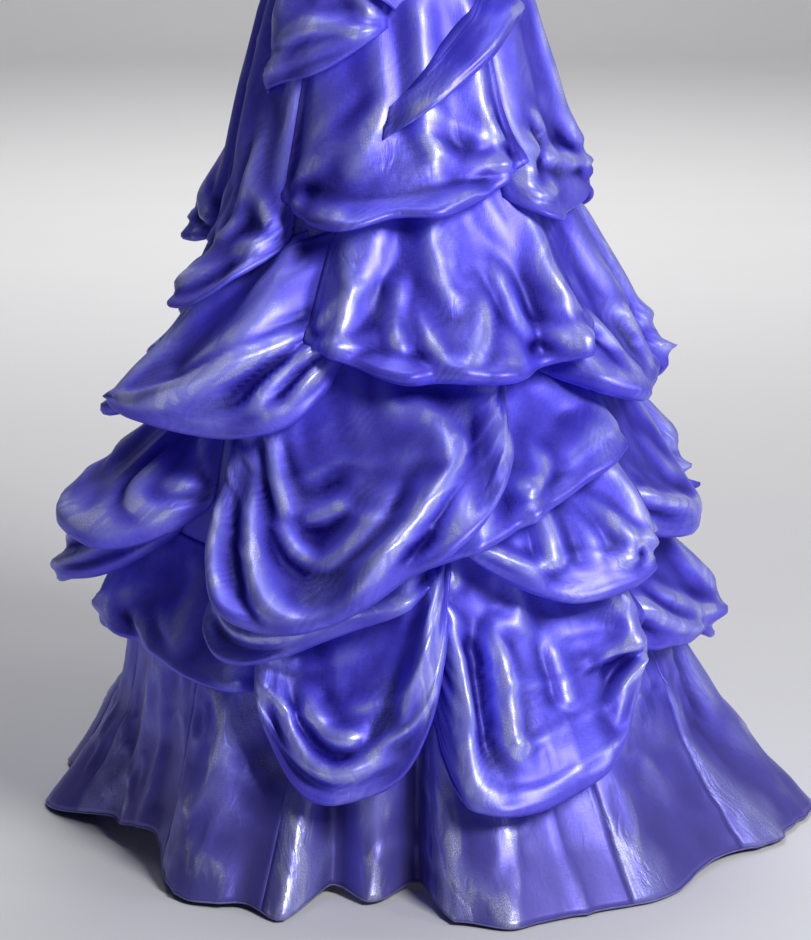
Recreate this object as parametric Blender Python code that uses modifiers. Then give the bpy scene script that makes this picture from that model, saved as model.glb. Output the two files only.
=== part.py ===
"""Floor-length gown: strapless bodice, twelve-gore skirt and tiers of picked-up swags, each a cloth wall.

Units are metres and +Z is up. The origin is the centre of the waist, the front faces -Y.
Angles are in degrees round the body, 0 at centre front and positive towards +X.
Heights in the tables are measured up from the hem.
"""
from collections import namedtuple

import bmesh
import bpy
import numpy as np
from mathutils import Vector
from mathutils.bvhtree import BVHTree

OBJECT_NAME = "pickup_gown"

# Driving dimensions
WAIST_TO_HEM = 1.07
WALL = 0.002
SEAM_GAP = 0.0006
SEAT_GAP = 0.0006
SEAT_SAMPLES = 17
SEAT_DEPTH = 0.75
LAY_GAP = 0.0052
BODICE_GAP = 0.0060
END_DEPTH = 0.016
END_PINCH = 0.55
PUFF_SHARE = 0.80
ROLL_SHARE = 0.36
ROLL_LIMIT = 0.019
RETURN_LENGTH = 0.040
RETURN_LEAN = 0.004
SPREAD_ANGLE = 5.0
SPREAD_HEIGHT = 0.026
RELIEF_STEP_ANGLE = 1.5
RELIEF_STEP_HEIGHT = 0.006
START_OUT = 0.4
SKIRT_TOP = 1.045
FLOUNCE_REACH = 0.31
FLOUNCE_POWER = 1.15
FOLD_DEPTH = 0.009

# General figure under the cloth: half width and half depth by height above the hem
Section = namedtuple("Section", "height half_width half_depth")
FORM = (
    Section(0.00, 0.400, 0.395),
    Section(0.06, 0.366, 0.355),
    Section(0.13, 0.334, 0.322),
    Section(0.20, 0.316, 0.303),
    Section(0.30, 0.300, 0.285),
    Section(0.40, 0.282, 0.265),
    Section(0.50, 0.254, 0.236),
    Section(0.60, 0.224, 0.204),
    Section(0.69, 0.196, 0.176),
    Section(0.78, 0.174, 0.152),
    Section(0.87, 0.158, 0.135),
    Section(0.92, 0.150, 0.126),
    Section(0.97, 0.142, 0.116),
    Section(1.02, 0.133, 0.105),
    Section(1.07, 0.125, 0.095),
    Section(1.12, 0.127, 0.098),
    Section(1.18, 0.137, 0.106),
    Section(1.24, 0.147, 0.113),
    Section(1.34, 0.150, 0.110),
)

# Hem flounce: crests and valleys round the hem, out from the form, lifted off the floor
Fold = namedtuple("Fold", "angle out lift")
HEM_FOLDS = (
    Fold(-176.0, 0.040, 0.000),
    Fold(-160.0, -0.030, 0.004),
    Fold(-146.0, 0.045, 0.000),
    Fold(-131.0, -0.025, 0.006),
    Fold(-117.0, 0.050, 0.000),
    Fold(-104.0, -0.010, 0.004),
    Fold(-92.0, 0.012, 0.000),
    Fold(-72.0, -0.050, 0.018),
    Fold(-56.0, -0.048, 0.032),
    Fold(-34.0, 0.016, 0.002),
    Fold(-25.0, -0.004, 0.004),
    Fold(-17.0, 0.018, 0.000),
    Fold(-13.0, -0.075, 0.008),
    Fold(-4.0, -0.040, 0.002),
    Fold(5.0, -0.095, 0.006),
    Fold(9.0, 0.020, 0.002),
    Fold(17.5, 0.056, 0.000),
    Fold(29.0, 0.026, 0.000),
    Fold(44.0, 0.044, 0.000),
    Fold(58.0, 0.018, 0.004),
    Fold(75.0, 0.060, 0.002),
    Fold(91.0, 0.100, 0.000),
    Fold(108.0, 0.010, 0.006),
    Fold(122.0, 0.055, 0.000),
    Fold(137.0, -0.020, 0.005),
    Fold(152.0, 0.048, 0.000),
    Fold(168.0, -0.028, 0.004),
)
GORE_FOLDS = (0, 2, 4, 6, 8, 10, 14, 17, 19, 21, 23, 25)
GORE_ROW_HEIGHTS = (0.0, 0.035, 0.08, 0.135, 0.20, 0.30, 0.46, 0.66, 0.86, SKIRT_TOP)

# Swags, lowest first: two tacked corners, the lowest point of the bottom edge, and the heights of the
# top edge; how far the belly puffs out, how steep each side hangs, and the nested folds across it
Swag = namedtuple(
    "Swag",
    "name left left_height right right_height low low_height top_left top_right "
    "puff steep_left steep_right folds columns",
)
SWAGS = (
    Swag("swag_back_low_a", 80, 0.255, 130, 0.280, 108, 0.190, 0.36, 0.40, 0.034, 2.2, 2.2, 2, 7),
    Swag("swag_back_low_b", 124, 0.285, 180, 0.260, 150, 0.165, 0.41, 0.38, 0.045, 2.4, 2.0, 2, 7),
    Swag("swag_back_low_c", 174, 0.265, 232, 0.285, 205, 0.180, 0.39, 0.41, 0.045, 2.0, 2.4, 2, 7),
    Swag("swag_back_low_d", 226, 0.280, 292, 0.262, 256, 0.215, 0.40, 0.38, 0.030, 2.2, 1.8, 2, 8),
    Swag("swag_low_left", -82, 0.262, -26, 0.218, -56, 0.240, 0.38, 0.36, 0.020, 2.0, 2.0, 1, 7),
    Swag("swag_low_right", 44, 0.284, 88, 0.252, 58, 0.248, 0.38, 0.38, 0.040, 2.0, 2.0, 1, 7),
    Swag("swag_low_front_right", 5, 0.350, 53, 0.275, 13, 0.114, 0.43, 0.42, 0.046, 3.2, 2.2, 2, 11),
    Swag("swag_low_front_left", -30, 0.280, 12, 0.390, -6, 0.118, 0.37, 0.44, 0.042, 2.4, 3.2, 2, 11),
    Swag("swag_second_u", -42, 0.345, 8, 0.355, -28, 0.266, 0.43, 0.43, 0.030, 2.2, 1.6, 1, 9),
    Swag("swag_left_lower", -102, 0.370, -56, 0.390, -77, 0.300, 0.46, 0.47, 0.046, 2.2, 2.2, 1, 8),
    Swag("swag_left_upper", -92, 0.440, -47, 0.420, -62, 0.366, 0.53, 0.50, 0.030, 2.2, 2.2, 1, 8),
    Swag("swag_right_side", 47, 0.405, 92, 0.410, 66, 0.366, 0.54, 0.56, 0.066, 2.0, 2.0, 1, 8),
    Swag("swag_back_mid_a", 86, 0.420, 132, 0.400, 110, 0.345, 0.55, 0.53, 0.050, 2.2, 2.2, 2, 7),
    Swag("swag_back_mid_b", 126, 0.410, 176, 0.430, 150, 0.330, 0.53, 0.55, 0.048, 2.4, 2.0, 2, 7),
    Swag("swag_back_mid_c", 170, 0.425, 222, 0.400, 200, 0.335, 0.55, 0.53, 0.046, 2.0, 2.4, 2, 7),
    Swag("swag_back_mid_d", 216, 0.410, 266, 0.420, 240, 0.335, 0.53, 0.54, 0.040, 2.4, 2.0, 2, 7),
    Swag("swag_mid_right", 9, 0.412, 56, 0.368, 32, 0.332, 0.51, 0.48, 0.040, 1.9, 1.9, 2, 9),
    Swag("swag_diagonal", -9, 0.340, 60, 0.502, 14, 0.404, 0.50, 0.60, 0.035, 1.6, 1.5, 1, 9),
    Swag("swag_big_u", -46, 0.500, 31, 0.556, -14, 0.324, 0.60, 0.63, 0.052, 3.0, 1.5, 3, 12),
    Swag("swag_right_high", 41, 0.566, 92, 0.560, 62, 0.530, 0.78, 0.80, 0.060, 2.0, 2.0, 1, 8),
    Swag("swag_back_high_a", 84, 0.570, 138, 0.585, 108, 0.508, 0.76, 0.78, 0.056, 2.2, 2.2, 2, 7),
    Swag("swag_back_high_b", 132, 0.585, 196, 0.570, 160, 0.510, 0.78, 0.77, 0.048, 2.2, 2.2, 2, 8),
    Swag("swag_back_high_c", 190, 0.570, 270, 0.580, 228, 0.510, 0.77, 0.77, 0.040, 2.2, 2.2, 2, 9),
    Swag("swag_left_dark", -94, 0.548, -29, 0.628, -72, 0.502, 0.64, 0.72, 0.072, 2.4, 2.0, 1, 9),
    Swag("swag_left_high", -67, 0.535, -13, 0.598, -27, 0.512, 0.67, 0.73, 0.035, 1.6, 2.4, 1, 9),
    Swag("swag_centre_high", -23, 0.606, 53, 0.610, 17, 0.562, 0.80, 0.84, 0.042, 1.4, 2.2, 2, 12),
    Swag("hip_left", -84, 0.672, -37, 0.706, -54, 0.636, 1.01, 1.01, 0.003, 2.0, 2.0, 1, 8),
    Swag("hip_back_left", 212, 0.765, 282, 0.700, 245, 0.685, 1.01, 1.01, 0.018, 2.0, 2.0, 2, 8),
    Swag("hip_back_centre", 146, 0.760, 217, 0.765, 180, 0.695, 1.01, 1.01, 0.030, 2.2, 2.2, 2, 8),
    Swag("hip_back_right", 84, 0.778, 152, 0.760, 118, 0.706, 1.01, 1.01, 0.012, 2.2, 2.2, 2, 8),
    Swag("hip_right", 36, 0.758, 94, 0.780, 52, 0.735, 0.99, 1.01, 0.006, 2.0, 2.0, 1, 8),
    Swag("front_panel", -41, 0.750, 43, 0.796, 1, 0.738, 1.00, 1.00, 0.018, 2.2, 2.2, 1, 12),
    Swag("drape_left", -62, 0.864, -3, 0.944, -30, 0.896, 1.03, 0.99, 0.004, 1.5, 1.5, 1, 9),
    Swag("drape_right", -4, 0.824, 62, 0.968, 22, 0.886, 0.86, 1.03, 0.014, 1.5, 1.5, 1, 9),
)
FRONT_ROWS = (0.0, 0.22, 0.45, 0.68, 0.87, 1.0)
ROLL_TURNS = (60.0, 120.0, 180.0)

# Bodice panels: edges round the body, in columns
Panel = namedtuple("Panel", "name left right columns")
BODICE = (
    Panel("bodice_front", -90.0, 90.0, 18),
    Panel("bodice_back_left", 183.0, 270.0, 7),
    Panel("bodice_back_right", 90.0, 177.0, 7),
    Panel("back_zip", 177.0, 183.0, 2),
)
BODICE_ROWS = 8
POINT_HEIGHT = 0.962
BASQUE_RISE = 0.075
BASQUE_ANGLE = 50.0
NECK_FRONT = 1.305
NECK_CUP = 0.032
NECK_SIDE = 1.268
CUP_ANGLE = 30.0
CUP_HEIGHT = 1.235
CUP_OUT = 0.020
CUP_SPAN_ANGLE = 19.0
CUP_SPAN_HEIGHT = 0.052

# Finishes: colour and roughness
Finish = namedtuple("Finish", "colour roughness")
ORGANZA = Finish((0.105, 0.085, 0.72, 1.0), 0.34)
SATIN = Finish((0.120, 0.100, 0.76, 1.0), 0.38)
ZIP_TAPE = Finish((0.070, 0.055, 0.50, 1.0), 0.55)


def smooth(x):
    """Ease from 0 to 1."""
    t = np.clip(x, 0.0, 1.0)
    return t * t * (3.0 - 2.0 * t)


def form_radii(height):
    """Half width and half depth of the figure at a height above the hem."""
    heights = [row.height for row in FORM]
    return (
        np.interp(height, heights, [row.half_width for row in FORM]),
        np.interp(height, heights, [row.half_depth for row in FORM]),
    )


def place(angle, height, out):
    """Points at an angle and height, standing out from the figure."""
    half_width, half_depth = form_radii(height)
    turn = np.radians(angle)
    x = (half_width + out) * np.sin(turn)
    y = -(half_depth + out) * np.cos(turn)
    return np.stack(np.broadcast_arrays(x, y, height - WAIST_TO_HEM), axis=-1)


class Relief:
    """How far out the cloth laid so far reaches, by angle and height."""

    def __init__(self):
        self.angles = np.arange(0.0, 360.0, RELIEF_STEP_ANGLE)
        self.heights = np.arange(-0.03, 1.40, RELIEF_STEP_HEIGHT)
        self.out = np.zeros((len(self.angles), len(self.heights)))
        self.trees = []

    def add(self, points):
        """Record a sheet that has just been laid."""
        faces = grid_faces(*points.shape[:2])
        tree = BVHTree.FromPolygons([Vector(p) for p in points.reshape(-1, 3)], faces)
        self.trees.append(tree)
        low = points[..., 2].min() + WAIST_TO_HEM
        high = points[..., 2].max() + WAIST_TO_HEM
        rows = np.flatnonzero((self.heights >= low) & (self.heights <= high))
        starts = place(self.angles[:, None], self.heights[None, rows], START_OUT)
        turns = np.radians(self.angles)
        inward = [Vector((-np.sin(turn), np.cos(turn), 0.0)) for turn in turns]
        for i, direction in enumerate(inward):
            for k, j in enumerate(rows):
                hit = tree.ray_cast(Vector(starts[i, k]), direction, START_OUT + 0.02)
                if hit[0] is not None:
                    self.out[i, j] = max(self.out[i, j], START_OUT - hit[3])

    def clearance(self, point):
        """Distance from a point in to the sheets laid so far, along the line to the axis."""
        inward = Vector((-point[0], -point[1], 0.0)).normalized()
        start = Vector(point) - inward * START_OUT
        reach = [tree.ray_cast(start, inward, 2 * START_OUT)[3] for tree in self.trees]
        reach = [distance for distance in reach if distance is not None]
        return min(reach) - START_OUT if reach else START_OUT

    def seat(self, points):
        """Move the first row of a sheet in or out until it lies a seam's gap over what carries it."""
        across = np.linspace(0.0, 1.0, SEAT_SAMPLES)
        shift = -START_OUT
        for column in range(points.shape[0] - 1):
            for part in across:
                edge = points[column] * (1 - part) + points[column + 1] * part
                for down in across * SEAT_DEPTH:
                    gap = self.clearance(edge[0] * (1 - down) + edge[1] * down)
                    shift = max(shift, (WALL + SEAT_GAP - gap) / (1 - down))
        outward = points[:, 0] * np.array((1.0, 1.0, 0.0))
        outward /= np.linalg.norm(outward, axis=1, keepdims=True)
        points[:, 0] += outward * shift

    def spread(self):
        """The relief widened by the spread and then evened out over the same spread."""
        across = max(1, round(SPREAD_ANGLE / RELIEF_STEP_ANGLE))
        along = max(1, round(SPREAD_HEIGHT / RELIEF_STEP_HEIGHT))
        wide = self.out.copy()
        for k in range(-across, across + 1):
            wide = np.maximum(wide, np.roll(self.out, k, axis=0))
        tall = wide.copy()
        for k in range(-along, along + 1):
            tall = np.maximum(tall, shifted(wide, k))
        even = sum(np.roll(tall, k, axis=0) for k in range(-across, across + 1)) / (2 * across + 1)
        return sum(shifted(even, k) for k in range(-along, along + 1)) / (2 * along + 1)

    def sample(self, field, angle, height):
        """Read a field of this relief between its grid points."""
        a = (np.asarray(angle) % 360.0) / RELIEF_STEP_ANGLE
        h = np.clip((height - self.heights[0]) / RELIEF_STEP_HEIGHT, 0, len(self.heights) - 1.001)
        i, j = np.floor(a).astype(int), np.floor(h).astype(int)
        s, t = a - i, h - j
        count = len(self.angles)
        near, far = i % count, (i + 1) % count
        low = field[near, j] * (1 - s) + field[far, j] * s
        high = field[near, j + 1] * (1 - s) + field[far, j + 1] * s
        return low * (1 - t) + high * t


def shifted(field, steps):
    """A field moved along its height, its edge rows held."""
    index = np.clip(np.arange(field.shape[1]) + steps, 0, field.shape[1] - 1)
    return field[:, index]


def swag_outline(swag, across):
    """Angles and heights of a swag's top edge and bottom edge."""
    middle = (swag.low - swag.left) / (swag.right - swag.left)
    lean = np.where(across < middle, (middle - across) / middle, (across - middle) / (1.0 - middle))
    steep = np.where(across < middle, swag.steep_left, swag.steep_right)
    sag = 1.0 - np.abs(lean) ** steep
    straight = swag.left_height + (swag.right_height - swag.left_height) * across
    at_low = swag.left_height + (swag.right_height - swag.left_height) * middle
    bottom_angle = swag.left + (swag.right - swag.left) * across
    bottom_height = straight + (swag.low_height - at_low) * sag
    top_angle = swag.left + (swag.right - swag.left) * (0.5 + (across - 0.5) * 0.94)
    top_height = swag.top_left + (swag.top_right - swag.top_left) * across
    return bottom_angle, bottom_height, top_angle, top_height


def lay_swag(swag, relief):
    """Points of a swag: its front, the puffed lower edge and the short return behind it."""
    across = np.linspace(0.0, 1.0, swag.columns + 1)[:, None]
    down = np.array(FRONT_ROWS)[None, :]
    full = np.sin(np.pi * across)
    pinch = END_PINCH + (1.0 - END_PINCH) * full ** 0.6
    depth = swag.puff * full ** 0.7 * PUFF_SHARE + END_DEPTH * pinch
    roll = np.minimum(ROLL_SHARE * depth, ROLL_LIMIT)
    bottom_angle, bottom_height, top_angle, top_height = swag_outline(swag, across)
    angle = top_angle + (bottom_angle - top_angle) * down
    height = top_height + (bottom_height + roll - top_height) * down
    belly = np.sin(np.pi / 2 * np.clip(down / 0.75, 0, 1)) ** 1.4 - 0.07 * smooth((down - 0.75) / 0.25)
    nested = FOLD_DEPTH * full * np.sin(2 * np.pi * swag.folds * down)
    nested *= smooth(down / 0.2) * smooth((1 - down) / 0.15)

    reach = relief.spread()
    out = relief.sample(reach, angle, height) + LAY_GAP + np.maximum(depth * belly + nested, 0.0)

    rows_angle, rows_height, rows_out = [angle], [height], [out]
    for turn in np.radians(ROLL_TURNS):
        rows_angle.append(bottom_angle)
        rows_height.append(height[:, -1:] - roll * np.sin(turn))
        rows_out.append(out[:, -1:] - roll * (1 - np.cos(turn)))
    behind = height[:, -1:] + RETURN_LENGTH * pinch
    rest = relief.sample(reach, bottom_angle, behind) + LAY_GAP
    rows_angle.append(bottom_angle)
    rows_height.append(behind)
    rows_out.append(np.maximum(out[:, -1:] - 2 * roll - RETURN_LEAN * full, rest))
    points = place(np.hstack(rows_angle), np.hstack(rows_height), np.hstack(rows_out))
    relief.seat(points)
    return points


def hem_wave(angle):
    """Crest and valley offset and lift round the hem, eased from fold to fold."""
    angles = np.array([fold.angle for fold in HEM_FOLDS])
    outs = np.array([fold.out for fold in HEM_FOLDS])
    lifts = np.array([fold.lift for fold in HEM_FOLDS])
    angles = np.append(angles, angles[0] + 360.0)
    outs, lifts = np.append(outs, outs[0]), np.append(lifts, lifts[0])
    wrapped = (np.asarray(angle) - angles[0]) % 360.0 + angles[0]
    index = np.clip(np.searchsorted(angles, wrapped, side="right") - 1, 0, len(angles) - 2)
    part = smooth((wrapped - angles[index]) / (angles[index + 1] - angles[index]))
    out = outs[index] * (1 - part) + outs[index + 1] * part
    lift = lifts[index] * (1 - part) + lifts[index + 1] * part
    return out, lift


def lay_gore(first, last):
    """Points of one skirt gore from one mid-slope seam to the next."""
    angles = [fold.angle for fold in HEM_FOLDS] + [fold.angle + 360.0 for fold in HEM_FOLDS]
    seams = [(angles[k] + angles[k + 1]) / 2 for k in range(first, last + 1)]
    columns = sorted(seams + angles[first + 1:last + 1])
    angle = np.array(columns)[:, None]
    height = np.array(GORE_ROW_HEIGHTS)[None, :]
    half_width, _ = form_radii(height)
    inset = np.degrees(SEAM_GAP / 2 / half_width)
    angle = np.repeat(angle, height.shape[1], axis=1)
    angle[0] += inset[0]
    angle[-1] -= inset[0]
    out, lift = hem_wave(angle)
    fade = np.clip(1.0 - height / FLOUNCE_REACH, 0.0, 1.0) ** FLOUNCE_POWER
    return place(angle, height + lift * fade, out * fade)


def bodice_edges(angle):
    """Heights of the bodice's lower and upper edge round the body."""
    off_front = np.abs((angle + 180.0) % 360.0 - 180.0)
    lower = POINT_HEIGHT + BASQUE_RISE * np.clip(off_front / BASQUE_ANGLE, 0.0, 1.0) ** 0.75
    cup = NECK_CUP * np.exp(-(((off_front - CUP_ANGLE) / CUP_SPAN_ANGLE) ** 2))
    upper = NECK_FRONT + (NECK_SIDE - NECK_FRONT) * smooth(off_front / 95.0) + cup
    return lower, upper


def lay_bodice(panel, relief):
    """Points of one bodice panel, shaped over the cups and resting over the skirt at its lower edge."""
    angle = np.linspace(panel.left, panel.right, panel.columns + 1)[:, None]
    down = np.linspace(1.0, 0.0, BODICE_ROWS + 1)[None, :]
    lower, upper = bodice_edges(angle)
    height = upper + (lower - upper) * down
    half_width, _ = form_radii(height)
    inset = np.degrees(SEAM_GAP / 2 / half_width)
    angle = np.repeat(angle, height.shape[1], axis=1)
    angle[0] += inset[0]
    angle[-1] -= inset[-1]
    off_front = np.abs((angle + 180.0) % 360.0 - 180.0)
    aside = (off_front - CUP_ANGLE) / CUP_SPAN_ANGLE
    above = (height - CUP_HEIGHT) / CUP_SPAN_HEIGHT
    cup = np.exp(-(aside ** 2) - above ** 2)
    out = CUP_OUT * cup + 0.004
    rest = relief.sample(relief.spread(), angle, height) + BODICE_GAP
    points = place(angle, height, np.maximum(out, rest))
    relief.seat(points)
    return points


def grid_faces(columns, rows):
    """Quads of a grid laid out column by column, facing outwards when angle runs towards +X."""
    return [
        (i * rows + j, i * rows + j + 1, (i + 1) * rows + j + 1, (i + 1) * rows + j)
        for i in range(columns - 1)
        for j in range(rows - 1)
    ]


def make_finish(name, finish):
    """A plain cloth finish."""
    material = bpy.data.materials.new(name)
    material.use_nodes = True
    shader = material.node_tree.nodes["Principled BSDF"]
    shader.inputs["Base Color"].default_value = finish.colour
    shader.inputs["Roughness"].default_value = finish.roughness
    shader.inputs["Metallic"].default_value = 0.0
    material.diffuse_color = finish.colour
    return material


def make_cloth(name, points, finish, collection):
    """A cloth wall: a grid moved to the points and thickened to the wall."""
    columns, rows = points.shape[:2]
    sheet = bmesh.new()
    bmesh.ops.create_grid(sheet, x_segments=columns - 1, y_segments=rows - 1, size=0.5)
    sheet.verts.ensure_lookup_table()
    for vert in sheet.verts:
        i = round((vert.co.x + 0.5) * (columns - 1))
        j = round((vert.co.y + 0.5) * (rows - 1))
        vert.co = Vector(points[i, j])
    mesh = bpy.data.meshes.new(name)
    bmesh.ops.recalc_face_normals(sheet, faces=sheet.faces)
    sheet.to_mesh(mesh)
    sheet.free()
    face_outwards(mesh)
    cloth = bpy.data.objects.new(name, mesh)
    collection.objects.link(cloth)
    mesh.materials.append(make_finish(name + "_cloth", finish))
    wall = cloth.modifiers.new("wall", "SOLIDIFY")
    wall.thickness = WALL
    wall.offset = 0.0
    wall.use_even_offset = False
    return cloth


def face_outwards(mesh):
    """Turn the sheet over when most of its upper face looks at the axis."""
    total = 0.0
    for face in mesh.polygons:
        away = face.center.x * face.normal.x + face.center.y * face.normal.y
        total += away * face.area
    if total < 0.0:
        mesh.flip_normals()


def clear_scene():
    """Remove whatever the scene holds."""
    for item in list(bpy.data.objects):
        bpy.data.objects.remove(item, do_unlink=True)


def build():
    """Build every cloth piece of the gown, from the skirt outwards."""
    clear_scene()
    gown = bpy.data.collections.new(OBJECT_NAME)
    bpy.context.scene.collection.children.link(gown)
    relief = Relief()
    folds = len(HEM_FOLDS)
    for number, first in enumerate(GORE_FOLDS):
        last = GORE_FOLDS[number + 1] if number + 1 < len(GORE_FOLDS) else folds
        points = lay_gore(first, last)
        relief.add(points)
        make_cloth("gore_" + "abcdefghijkl"[number], points, ORGANZA, gown)
    for swag in SWAGS:
        points = lay_swag(swag, relief)
        relief.add(points)
        make_cloth(swag.name, points, ORGANZA, gown)
    for panel in BODICE:
        points = lay_bodice(panel, relief)
        make_cloth(panel.name, points, ZIP_TAPE if panel.name == "back_zip" else SATIN, gown)


build()
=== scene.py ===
"""Dresses the gown: folded organza swags, wavy hem flounce, fitted bodice, light and camera.

Units are metres, +Z is up, the front faces -Y and the origin is the centre of the waist.
Angles are in degrees round the body, 0 at centre front and positive towards +X; heights count from the hem.
"""
from __future__ import annotations

import logging
import math
from dataclasses import dataclass, field
from enum import Enum

import bmesh
import bpy
import numpy as np
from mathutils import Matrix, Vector
from mathutils.bvhtree import BVHTree

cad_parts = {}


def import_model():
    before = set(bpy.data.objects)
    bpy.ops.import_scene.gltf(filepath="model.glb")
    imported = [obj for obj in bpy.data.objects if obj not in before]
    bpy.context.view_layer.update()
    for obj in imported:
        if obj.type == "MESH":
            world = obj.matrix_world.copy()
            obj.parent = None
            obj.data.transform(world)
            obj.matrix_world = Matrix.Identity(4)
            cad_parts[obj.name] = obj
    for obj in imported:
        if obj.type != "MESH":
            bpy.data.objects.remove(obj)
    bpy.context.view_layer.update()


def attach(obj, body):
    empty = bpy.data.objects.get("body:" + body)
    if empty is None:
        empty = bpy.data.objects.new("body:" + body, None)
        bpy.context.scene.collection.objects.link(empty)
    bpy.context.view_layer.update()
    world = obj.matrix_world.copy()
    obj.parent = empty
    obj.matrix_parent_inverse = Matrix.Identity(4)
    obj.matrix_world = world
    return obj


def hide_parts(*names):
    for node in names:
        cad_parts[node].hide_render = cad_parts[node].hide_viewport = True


LOG = logging.getLogger("gown")

WAIST_TO_HEM = 1.07


class Slot(Enum):
    """Material slots of the record that the pieces take their finish from."""

    SKIRT = "skirt_organza"
    SWAG = "swag_organza"
    BODICE = "bodice_satin"
    ZIP = "zip_tape"


class Hang(Enum):
    """How a sheet of cloth is held."""

    DRAPED = "draped"
    HUNG = "hung"
    STRETCHED = "stretched"


Colour = tuple[float, float, float, float]
Place = tuple[float, float, float]


@dataclass(frozen=True)
class Grain:
    """Noise over a piece: waves to the metre each way, its detail and its distortion."""

    across: float
    down: float
    detail: float = 2.0
    distortion: float = 0.0
    deep: float = 1.0


class Value:
    """A socket that can be used in Python expressions."""

    def __init__(self, bench: "Bench", socket: bpy.types.NodeSocket) -> None:
        """Keep the socket and the bench that adds its nodes."""
        self.bench = bench
        self.socket = socket

    def _math(self, operation: str, *values: "Value | float") -> "Value":
        """Add a Math node.

        Args:
            operation: Name of the Math node's operation.
            values: Its inputs in order.

        Returns:
            The node's result.
        """
        return self.bench.node("ShaderNodeMath", {"operation": operation}, dict(enumerate(values)))

    def __add__(self, other: "Value | float") -> "Value":
        """Sum."""
        return self._math("ADD", self, other)

    def __radd__(self, other: float) -> "Value":
        """Reflected sum."""
        return self._math("ADD", other, self)

    def __sub__(self, other: "Value | float") -> "Value":
        """Difference."""
        return self._math("SUBTRACT", self, other)

    def __rsub__(self, other: float) -> "Value":
        """Reflected difference."""
        return self._math("SUBTRACT", other, self)

    def __mul__(self, other: "Value | float") -> "Value":
        """Product."""
        return self._math("MULTIPLY", self, other)

    def __rmul__(self, other: float) -> "Value":
        """Reflected product."""
        return self._math("MULTIPLY", other, self)

    def __pow__(self, other: float) -> "Value":
        """Power."""
        return self._math("POWER", self, other)

    def clamp(self) -> "Value":
        """Value kept between 0 and 1."""
        return self._math("MINIMUM", self._math("MAXIMUM", self, 0.0), 1.0)

    def step(self, low: float, high: float) -> "Value":
        """Smooth rise from 0 at low to 1 at high."""
        t = ((self - low) * (1.0 / (high - low))).clamp()
        return t * t * (3.0 - 2.0 * t)


class Bench:
    """Builds the node tree of one material."""

    def __init__(self, name: str) -> None:
        """Start a material with a bare Principled shader.

        Args:
            name: The material's name.
        """
        self.material = bpy.data.materials.new(name)
        self.material.use_nodes = True
        self.tree = self.material.node_tree
        self.shader = self.tree.nodes["Principled BSDF"]

    def node(
        self,
        kind: str,
        settings: dict[str, object] | None = None,
        inputs: dict[str | int, object] | None = None,
        result: str | int = 0,
    ) -> Value:
        """Add any node.

        Args:
            kind: The node's type name.
            settings: Properties to set first.
            inputs: Socket values or links by socket name or number.
            result: The output to return.

        Returns:
            The chosen output as a value.
        """
        node = self.tree.nodes.new(kind)
        for key, value in (settings or {}).items():
            setattr(node, key, value)
        for key, value in (inputs or {}).items():
            self.feed(node.inputs[key], value)
        return Value(self, node.outputs[result])

    def feed(self, socket: bpy.types.NodeSocket, value: object) -> None:
        """Link a value to a socket, or set it.

        Args:
            socket: The socket to feed.
            value: A value to link, or a number or colour to set.
        """
        if isinstance(value, Value):
            self.tree.links.new(value.socket, socket)
        else:
            socket.default_value = value

    def mix(self, share: Value | float, low: object, high: object) -> Value:
        """Mix two colours.

        Args:
            share: 0 for the first colour, 1 for the second.
            low: First colour.
            high: Second colour.

        Returns:
            The mixed colour.
        """
        settings = {"data_type": "RGBA", "clamp_factor": True}
        return self.node("ShaderNodeMix", settings, {0: share, 6: low, 7: high}, 2)

    def surface(self, scale: Place = (1.0, 1.0, 1.0), source: str = "UV") -> Value:
        """Coordinates on the piece, in metres times a scale.

        Args:
            scale: Multiplier of each coordinate.
            source: The Texture Coordinate output, UV or Object.

        Returns:
            The scaled coordinates.
        """
        place = self.node("ShaderNodeTexCoord", result=source)
        return self.node("ShaderNodeMapping", None, {"Vector": place, "Scale": scale})

    def noise(self, grain: Grain, source: str = "UV") -> Value:
        """Soft noise over the piece.

        Args:
            grain: How fine it is.
            source: The Texture Coordinate output, UV or Object.

        Returns:
            Values from 0 to 1.
        """
        place = self.surface((grain.across, grain.down, grain.deep), source)
        inputs = {"Vector": place, "Scale": 1.0, "Detail": grain.detail, "Distortion": grain.distortion}
        return self.node("ShaderNodeTexNoise", None, inputs)

    def bump(self, height: Value, depth: float, strength: float, below: Value | None = None) -> Value:
        """Bump node over another bump.

        Args:
            height: Height from 0 to 1.
            depth: Depth in metres that a height of 1 stands for.
            strength: Share of the bump that is used.
            below: A normal that this one lies over.

        Returns:
            The bumped normal.
        """
        inputs: dict[str | int, object] = {"Height": height, "Distance": depth, "Strength": strength}
        if below is not None:
            inputs["Normal"] = below
        return self.node("ShaderNodeBump", None, inputs)

    def finish(self, sockets: dict[str, object]) -> bpy.types.Material:
        """Feed the Principled shader.

        Args:
            sockets: Values, numbers or colours by socket name.

        Returns:
            The finished material.
        """
        for name, value in sockets.items():
            self.feed(self.shader.inputs[name], value)
        return self.material


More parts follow.
